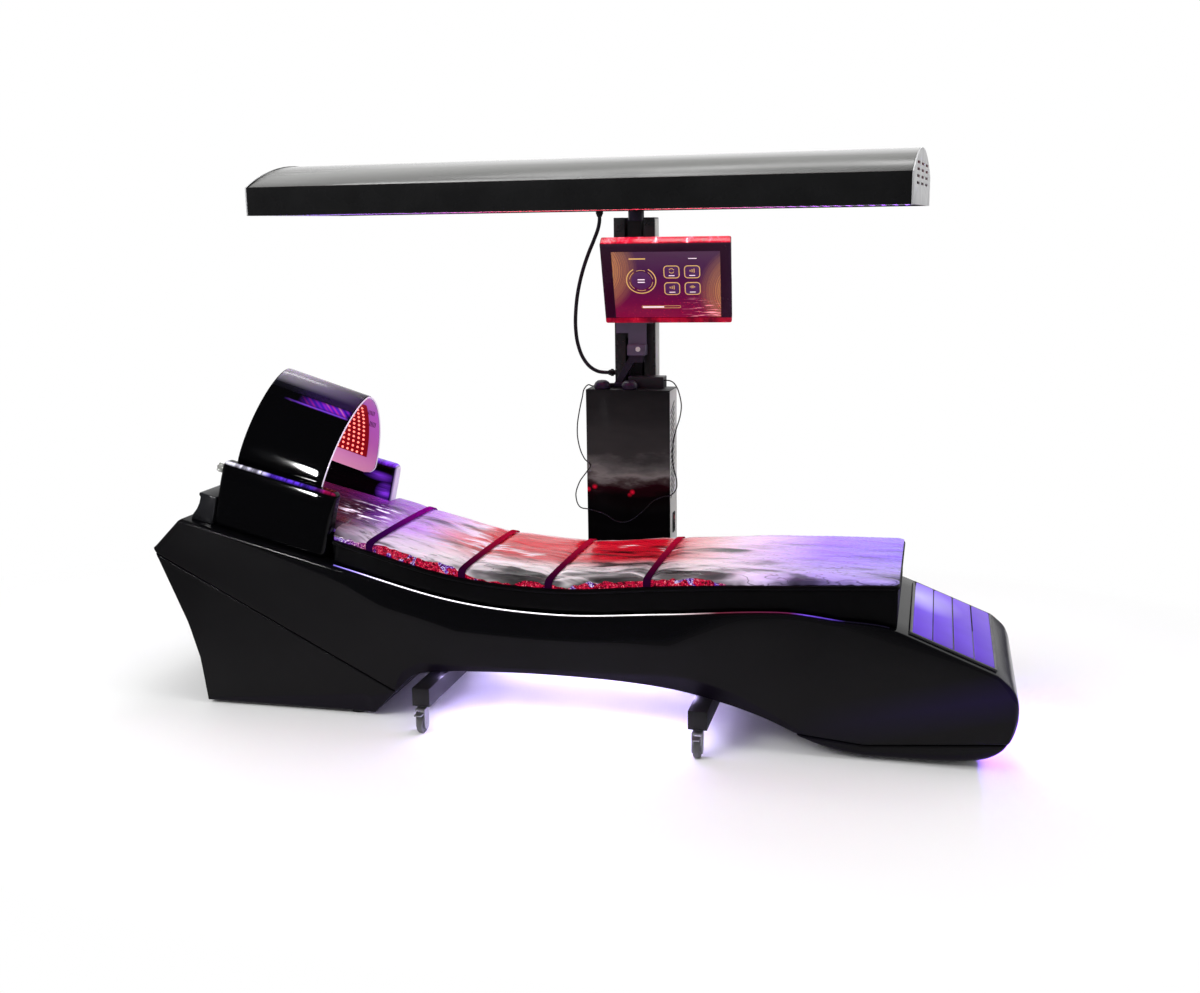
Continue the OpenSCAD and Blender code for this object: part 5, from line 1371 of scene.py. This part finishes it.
# %% Under the bed
def dress_each(*rows):
    """Dresses nodes from rows of finish, slot, bevel width and node names."""
    for look, slot, width, *names in rows:
        for node in names:
            dress(node, width, look, slot)


caster_metal = finish("caster_metal", (0.30, 0.30, 0.31), 0.3, 0.45, metal=0.9, grain=300.0)
wheel_rubber = finish("wheel_rubber", (0.10, 0.10, 0.105), 0.45, 0.6, grain=200.0, strength=0.15)
frame_grey = finish("tile_frame_grey", (0.045, 0.045, 0.05), 0.3, 0.4, 0.4, grain=700.0)
dress_each((frame_grey, "tile_frame", 1.5, "tile_frame"),
           (powder_black, "steel_black", 3.0, "floor_frame"),
           (powder_grey, "steel_dark", 2.0, "chassis"),
           (rubber_black, "rubber_foot", 2.0, "level_feet"),
           (caster_metal, "steel_dark", 0.8, *[f"caster_{i}_fork" for i in range(1, 5)]),
           (wheel_rubber, "wheel", 0.8, *[f"caster_{i}_wheel" for i in range(1, 5)]),
           (caster_metal, "pedal", 0.6, "caster_1_pedal", "caster_2_pedal"))
dress("head_cowl", 4.0, finish("cowl_top", (0.010, 0.010, 0.012), 0.12, 0.2, 0.35, grain=20.0, strength=0.02),
      "shell_black", segments=3)

# %% [markdown]
# ## Tower and cabinet
#
# The mast and all that it carries are dressed in the same way. Its side gets one pale cover,
# and the front of the cabinet gets a gloss with a painted reflection on it, a soft grey cloud.

# %% Tower
neck_paint = finish("neck_paint", (0.016, 0.011, 0.024), 0.3, 0.4, 0.3, grain=300.0)
mast_grey = finish("mast_grey", (0.016, 0.015, 0.017), 0.22, 0.38, grain=500.0, vary=0.4)
knob_chrome = finish("knob_chrome", (0.42, 0.42, 0.40), 0.15, 0.28, metal=0.6, grain=80.0, strength=0.03)
dress_each((powder_black, "steel_black", 2.0, "base_plate"),
           (mast_grey, "steel_dark", 2.0, "mast"),
           (powder_black, "steel_black", 1.0, "inner_column"),
           (caster_metal, "pin_steel", 1.0, "lift_actuator"),
           (neck_paint, "steel_dark", 1.0, "neck_head"),
           (rubber_black, "cord", 0.5, "gland_top", "gland_low"),
           (caster_metal, "pin_steel", 0.8, "hood_pins"),
           (knob_chrome, "knob", 1.2, "hood_knob_near", "hood_knob_far"))
mast_mid, mast_size = (mast_lo + mast_hi) / 2, mast_hi - mast_lo
cover_size = (0.0016, mast_size.y * 0.86, mast_size.z - 0.012)
cover = rounded_block("mast_side_cover", cover_size, 0.0006, (2, 4, 30), 2)
settle(cover, shifted(mast_hi.x + 0.0006, mast_mid.y, mast_mid.z))
hang(cover, "frame", "steel_dark",
     finish("cover_grey", (0.48, 0.48, 0.46), 0.3, 0.45, 0.4, grain=90.0, strength=0.2), "mast")

# %% Cabinet
def panel_finish():
    """Black gloss with painted reflections that glow faintly by themselves: a soft grey cloud low on the
    panel, and deep red spots of the lamps below it.
    """
    f = Finish("cabinet_gloss", Spec=0.02)
    _, _, z = f.coords.split()
    # Painted reflection: a grey cloud band low on the panel.
    cloud = f.coords.times(3.2, 1, 9).grain(1.6, 4.0, 0.6)
    grey = (z + cloud.drift(-0.035, 0.035)).span(0.46, 0.85).ramp(
        (0.0, 0.0012, 0.0010, 0.0012), (0.10, 0.0012, 0.0010, 0.0012), (0.20, 0.010, 0.001, 0.0025),
        (0.25, 0.03, 0.020, 0.020), (0.31, 0.12, 0.11, 0.105), (0.38, 0.06, 0.057, 0.055),
        (0.48, 0.022, 0.021, 0.021), (1.0, 0.006, 0.006, 0.0065))
    # Painted reflection of the red lamps: small red spots.
    dots = f.node("TexVoronoi", {"Vector": f.coords, "Scale": 22.0}).span(0.22, 0.05)
    art = (dots * z.within(0.500, 0.515, 0.535, 0.550)).mix(grey, (0.45, 0.004, 0.02))
    # The painted reflections glow faintly by themselves.
    return f.put(Base_Color=art).gloss(0.10, 0.16, 6.0).light(art, 0.30)


vent_paint = finish("vent_light", (0.66, 0.66, 0.63), 0.35, 0.5, 0.4, vary=0.06)
rocker_red = finish("rocker_red", (0.22, 0.008, 0.010), 0.25, 0.35, grain=90.0, strength=0.05)
media_shell = finish("media_shell", (0.014, 0.012, 0.016), 0.3, 0.42, 0.45, grain=300.0)
phone_skin = finish("phone_skin", (0.012, 0.006, 0.020), 0.3, 0.45, 0.45, grain=200.0)
arm_paint = finish("arm_paint", (0.085, 0.068, 0.115), 0.3, 0.4, grain=300.0, strength=0.08)
dress_each((panel_finish(), "cabinet_gloss", 1.2, "cabinet_front"),
           (powder_black, "steel_black", 0.8, "cabinet_body"),
           (caster_metal, "supply", 1.0, "power_supply"),
           (rubber_black, "inlet", 0.6, "power_inlet"),
           (rocker_red, "rocker", 0.5, "rocker_switch"),
           (media_shell, "media", 2.0, "media_box"),
           (phone_skin, "phones", 1.2, "headphones"),
           (neck_paint, "steel_dark", 1.5, "monitor_bracket"),
           (arm_paint, "steel_dark", 1.0, "monitor_arm"))
dress("cabinet_vent", 0.4, vent_paint, "vent_light", segments=1)
dress("fan_rotor", 0.3, rubber_black, "supply", segments=1)

# %% Painted shade in the vent slots
vent_lo, vent_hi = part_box("cabinet_vent")
SLOT_TALL, SLOT_PITCH = 0.0064, 0.018


def slot_shade(z):
    """A slanted dark bar with round ends: the painted shade inside a slot of the side plate."""
    bar = plate("louvre_bar", 0.066, SLOT_TALL, 0.0007, SLOT_TALL / 2 - 1e-4, 0.0002, 3)
    spot = shifted(vent_hi.x - 0.0002, (vent_lo.y + vent_hi.y) / 2 - 0.013, z)
    return settle(bar, spot @ turned(math.radians(30), "X") @ turned(quarter, "Z") @ turned(quarter, "X"))


levels = [cab_hi.z - 0.0563 - SLOT_PITCH * i for i in range(16)]
levels += [cab_lo.z + 0.0437 + SLOT_PITCH * i for i in range(10)]
hang(join("vent_louvres", [slot_shade(z) for z in levels]), "frame", "vent_light",
     finish("slot_black", (0.006, 0.006, 0.007), 0.5, 0.6, grain=300.0), "cabinet_vent")

# %% [markdown]
# The arm has one bolt that shows. A ray from the front finds the spot on the arm where it sits,
# and the way that the metal faces there.

# %% Bolt of the arm
arm = nodes["monitor_arm"]
tree = BVHTree.FromPolygons([arm.matrix_world @ v.co for v in arm.data.vertices],
                            [tuple(p.vertices) for p in arm.data.polygons])
hit = tree.ray_cast(Vector((0.056, 0.1, 0.969)), Vector((0, 1, 0)))
spot, facing = np.array(hit[0]), np.array(hit[1])
bolt_r = np.array([0.0078, 0.0078, 0.0072, 0.0052, 0.0048, 0.0034, 0.0030, 0.0006])[:, None, None]
bolt_h = np.array([-0.0004, 0.0014, 0.0020, 0.0020, 0.0008, 0.0008, 0.0024, 0.0026])[:, None, None]
aside = unit(np.cross(facing, (1.0, 0, 0)))
around = np.linspace(0, 2 * np.pi, 28, endpoint=False)[None, :, None]
ring = np.cos(around) * aside + np.sin(around) * np.cross(aside, facing)
bolt = surface("arm_bolt", spot + bolt_h * facing + bolt_r * ring, around=True, caps=True, smooth=40)
hang(bolt, body_of("monitor_arm"), "pin_steel",
     finish("bolt_steel", (0.62, 0.62, 0.60), 0.25, 0.35, grain=500.0))

# %% [markdown]
# ## The display
#
# The display is built in its own frame: X to the right, Y into the housing, Z up. A vector
# attribute keeps these coordinates on the mesh, so that the artwork and the glow of the housing
# can be drawn by formulas in the shader. Buttons and icons are thin solids on the glass.

# %% Display frame and helpers
screen_frame = (shifted(0.162, BED_Y + 0.490, 1.207) @ turned(math.radians(7), "Z")
                @ turned(math.radians(29), "X"))


def glass_plate(width, height, thick, corner, x, z, front, name="menu_part"):
    """A plate with round corners, facing the viewer at depth `front`."""
    made = plate(name, width, height, thick, corner, min(thick * 0.4, 0.001))
    return settle(made, shifted(x, front + thick, z) @ turned(quarter, "X"))


def loop(width, height, corner, y, x=0.0, z=0.0, n=6):
    """Outline of a rectangle with round corners, standing upright at the depth y."""
    flat, _ = round_corners(width, height, corner, n)
    return points(x + flat[:, 0], y, z + flat[:, 1])


def round_frame(width, height, corner, line, thick, x, z, front):
    """A flat outline with round corners: the ring between two rounded rectangles."""
    section = ((0, thick), (0, 0), (line, 0), (line, thick), (0, thick))
    rings = [loop(width - 2 * inset, height - 2 * inset, max(corner - inset, 0.0008), front + depth, x, z, 8)
             for inset, depth in section]
    grid = np.stack(rings, 1)
    return surface("menu_part", np.concatenate([grid, grid[:1]]), smooth=30)


def band_arc(radius, line, start, stop, x, z, front, thick=0.0006):
    """A flat arc on the glass from one angle to another, in degrees."""
    a = np.radians(np.linspace(start, stop, max(6, int(abs(stop - start) / 8))))
    ring = [(radius, thick), (radius, 0), (radius - line, 0), (radius - line, thick), (radius, thick)]
    grid = np.stack([points(x + r * np.cos(a), front + d, z + r * np.sin(a)) for r, d in ring], 1)
    return surface("menu_part", grid, smooth=30)


# %% Housing
def housing_finish():
    """Dark violet sides, and painted red light that glows by itself on the upper face and the lower border,
    with paler spots of painted highlight.
    """
    f = Finish("housing_finish", Spec=0.2)
    spot = f.read("place", "Vector")
    _, _, z = spot.split()
    # Where the painted red light lies: the upper face and the lower border.
    lit = z.span(0.1375, 0.1405) + z.span(-0.1205, -0.1235) * 0.8
    blobs = spot.times(1, 0.5, 0.5).grain(26.0, 3.0, 0.6)
    red = blobs.ramp((0.30, 0.22, 0.001, 0.010), (0.55, 0.55, 0.004, 0.028), (0.63, 0.85, 0.10, 0.16),
                     (0.68, 1.0, 0.75, 0.80))
    below = blobs.ramp((0.35, 0.10, 0.001, 0.010), (0.60, 0.42, 0.003, 0.022), (0.72, 0.9, 0.10, 0.12))
    red = z.span(-0.05, 0.05).mix(below, red)
    # The painted light glows by itself.
    f.light(lit.mix((0.018, 0.001, 0.012), red), lit.span(0, 1, 0.4, 0.75))
    return f.put(Base_Color=lit.mix((0.012, 0.002, 0.012), red), Roughness=blobs.drift(0.15, 0.3))


WIDE, TALL, DEEP, OPEN_W, OPEN_H, BEND = 0.390, 0.282, 0.036, 0.326, 0.232, 0.002
rows = [(OPEN_W, OPEN_H, 0.002, 0.004, -0.006), (OPEN_W, OPEN_H, 0.002, 0.0008, -0.006),
        (OPEN_W + 0.0016, OPEN_H + 0.0016, 0.003, 0, -0.006),
        ((WIDE + OPEN_W) / 2, (TALL + OPEN_H) / 2, 0.005, 0, -0.003)]
outer = [(2 * BEND, 0)]
outer += [(2 * BEND * (1 - math.sin(a)), BEND * (1 - math.cos(a))) for a in np.linspace(0.3, quarter, 4)]
outer += [(0, DEEP * 0.3), (0, DEEP * 0.6), (0, DEEP - BEND), (BEND, DEEP)]
rows += [(WIDE - less, TALL - less, 0.006, y, 0) for less, y in outer]
rings = np.array([loop(w, h, c, y - 0.061, z=z) for w, h, c, y, z in rows])
lugs = [settle(rounded_block("lug", (0.006, 0.034, 0.018), 0.0015, (2, 4, 3), 3), shifted(x, -0.010, 0))
        for x in (-0.019, 0.019)]
case = surface("display_housing", rings, around=True, caps=True, smooth=30, flip=True)
housing = keep_place(join("display_housing_set", [case, *lugs]), screen_frame)
hang(housing, "monitor", "screen", housing_finish(), "monitor_housing")

# %% Artwork
GLASS_Y = -0.0598


def glass_finish():
    """Violet to magenta ground, golden rings spreading from two corners, and red glints low down."""
    f = Finish("glass_art", Roughness=0.12, Spec=0.15)
    spot = f.read("place", "Vector")
    x, _, z = spot.split()
    ground = z.span(-0.122, 0.110).ramp((0.0, 0.16, 0.002, 0.030), (0.30, 0.085, 0.004, 0.036),
                                        (0.65, 0.042, 0.008, 0.045), (1.0, 0.050, 0.020, 0.048))

    def rings(cx, cz):
        """Golden rings round a spot, fainter with the distance."""
        far = spot.away(cx, GLASS_Y, cz)
        lines = f.node("TexNoise", {"W": far * 120.0, "Detail": 2.0}, noise_dimensions="1D")
        return lines.span(0.40, 0.62, 0.12, 1.0) * far.span(0.170, 0.105)

    art = (rings(-0.255, 0.05) + rings(0.262, -0.03)).mix(ground, (0.44, 0.20, 0.065))
    sparks = f.node("TexVoronoi", {"Vector": spot, "Scale": 150.0}).span(0.22, 0.10)
    glint = sparks * z.span(-0.02, -0.10) * x.span(-0.10, 0.13, 0.25, 1.0)
    streak = spot.times(18, 1, 170).grain(1.0, 3.0).span(0.55, 0.70)
    hot = streak * z.span(-0.045, -0.085) * x.span(0.04, 0.10)
    art = hot.mix(glint.mix(art, (0.90, 0.02, 0.05)), (1.0, 0.35, 0.40))
    return f.put(Base_Color=art).light(art, 0.75)


glass = glass_plate(0.325, 0.231, 0.0024, 0.002, 0, -0.006, GLASS_Y, "display_glass")
hang(keep_place(glass, screen_frame), "monitor", "screen", glass_finish(), "monitor_screen")

# %% Menu
plates, golds, whites = [], [], []
on_glass = GLASS_Y - 0.0006
front = on_glass - 0.0003
for k in range(4):
    x, z = 0.016 + 0.062 * (k % 2), 0.040 - 0.058 * (k // 2)
    plates.append(glass_plate(0.044, 0.040, 0.0005, 0.010, x, z, on_glass))
    golds.append(round_frame(0.048, 0.044, 0.0115, 0.0026, 0.0007, x, z, on_glass - 0.0001))
    whites.append(glass_plate(0.018, 0.0022, 0.0003, 0.0008, x, z - 0.0125, front))
    z += 0.004
    if k == 0:
        golds += [band_arc(0.0085, 0.0018, 20 + 180 * n, 160 + 180 * n, x, z, front) for n in range(2)]
    elif k == 3:
        golds += [band_arc(0.004 + 0.003 * n, 0.0015, 30, 150, x, z - 0.004, front) for n in range(3)]
    else:
        golds += [glass_plate(0.0025, 0.006 + 0.004 * n, 0.0004, 0.001, x - 0.006 + 0.006 * n, z, front)
                  for n in range(3)]
dial_x, dial_z = -0.077, 0.011
golds.append(band_arc(0.046, 0.0030, 120, 420, dial_x, dial_z, front))
golds += [band_arc(0.036, 0.0012, 60 * n + 8, 60 * n + 52, dial_x, dial_z, front) for n in range(6)]
plates.append(glass_plate(0.060, 0.060, 0.0005, 0.0295, dial_x, dial_z, on_glass))
whites += [glass_plate(0.022, 0.0030, 0.0003, 0.001, dial_x, dial_z - 0.006 + 0.009 * n, front)
           for n in range(2)]
golds.append(glass_plate(0.050, 0.0040, 0.0004, 0.0015, -0.086, 0.086, front))
whites.append(glass_plate(0.026, 0.0022, 0.0003, 0.001, 0.080, 0.086, front))
golds.append(round_frame(0.120, 0.0085, 0.0040, 0.0010, 0.0006, -0.020, -0.083, on_glass))
whites.append(glass_plate(0.066, 0.0040, 0.0003, 0.0018, -0.044, -0.083, front))
for name, parts, look in (("menu_tiles", plates, glow("menu_tile", (0.045, 0.006, 0.060), 0.8)),
                          ("menu_gold_lines", golds, glow("menu_gold", (0.50, 0.33, 0.10), 0.95)),
                          ("menu_white_marks", whites, glow("menu_white", (0.85, 0.75, 0.80), 0.9))):
    hang(settle(join(name, parts), screen_frame), "monitor", "screen", look)

# %% [markdown]
# ## Canopy
#
# The dome gets a dark rim at its near end. Its path is the upper outline of the dome's end face,
# found as the hull of the points that lie there.

# %% Canopy
def dome_finish():
    """Smoke-grey gloss whose painted reflection is deeper along the near edge, lighter higher up and palest
    at the far left.
    """
    f = Finish("dome_gloss", Spec=0.09)
    x, _, z = f.coords.split()
    # Painted reflection: darker low on the dome, lighter higher up.
    grey = z.span(1.467, 1.528).ramp((0.0, 0.012, 0.012, 0.011), (0.25, 0.035, 0.035, 0.032),
                                     (0.7, 0.14, 0.14, 0.135), (1.0, 0.42, 0.42, 0.42))
    f.put(Base_Color=x.span(-0.85, 0.2, 0.45, 0.0).mix(grey, (0.22, 0.22, 0.215)))
    return f.gloss(0.16, 0.26, 3.0)


def lens_finish():
    """A clear cover over rows of lamps: violet at both ends and red in the middle."""
    f = Finish("lens_light", Roughness=0.15, Spec=0.4)
    x, y, _ = f.coords.split()
    colour = x.span(-0.85, 0.95).ramp((0.0, 0.25, 0.08, 0.9), (0.2, 0.5, 0.10, 0.8), (0.35, 1.0, 0.05, 0.10),
                                      (0.65, 1.0, 0.05, 0.10), (0.8, 0.5, 0.1, 0.8), (1.0, 0.25, 0.08, 0.9))
    rows, lines = ((way * (2 * math.pi / pitch)).maths("SINE") for way, pitch in ((x, 0.030), (y, 0.024)))
    f.light(colour, rows.maths("MINIMUM", lines).span(0.25, 0.70, 0.08, 8.0))
    return f.put(Base_Color=f.blend(0.85, colour, (0.02, 0.01, 0.02)))


fascia_black = finish("fascia_black", (0.0088, 0.0088, 0.0092), 0.22, 0.32, 0.06, grain=5.0, strength=0.02)
dress_each((fascia_black, "canopy_black", 1.5, "canopy_frame"),
           (powder_grey, "steel_dark", 2.0, "canopy_arm"),
           (dome_finish(), "dome", 1.0, "canopy_dome"),
           (finish("cap_grey", (0.42, 0.42, 0.43), 0.3, 0.4), "cap_grey", 1.0, "canopy_end_caps"),
           (glow("board_light", (0.9, 0.1, 0.2), 1.0), "board", 0.5, "canopy_led_boards"),
           (lens_finish(), "lens", 0.8, "canopy_lens"),
           (glow("led_board", (0.20, 0.002, 0.006), 0.7), "led_red", 0.4, "hood_leds"))

# %% Rim of the dome
SWING = math.radians(-3.5)
dome = nodes["canopy_dome"]
spots = np.array([tuple(dome.matrix_world @ v.co) for v in dome.data.vertices])
along = spots[:, 0] * math.cos(SWING) + spots[:, 1] * math.sin(SWING)
over = spots[:, 1] * math.cos(SWING) - spots[:, 0] * math.sin(SWING)
end = along < along.min() + 0.002
hull = []
for point in sorted(zip(over[end], spots[end, 2])):
    while len(hull) > 1 and ((hull[-1][0] - hull[-2][0]) * (point[1] - hull[-2][1])
                             >= (hull[-1][1] - hull[-2][1]) * (point[0] - hull[-2][0])):
        hull.pop()
    hull.append(point)
over = np.linspace(hull[0][0] + 0.001, hull[-1][0] - 0.001, 60)
rim_at = along.min() + 0.004
rim = points(rim_at * math.cos(SWING) - over * math.sin(SWING),
             rim_at * math.sin(SWING) + over * math.cos(SWING), np.interp(over, *zip(*hull)) - 0.0005)
hang(flat_tube("dome_rim", rim, 0.0034, 0.0022, 10), "canopy", "canopy_black", polish_black, "canopy_dome")
print("all pieces dressed")

# %% Last lines
scene.view_settings.view_transform = "Standard"
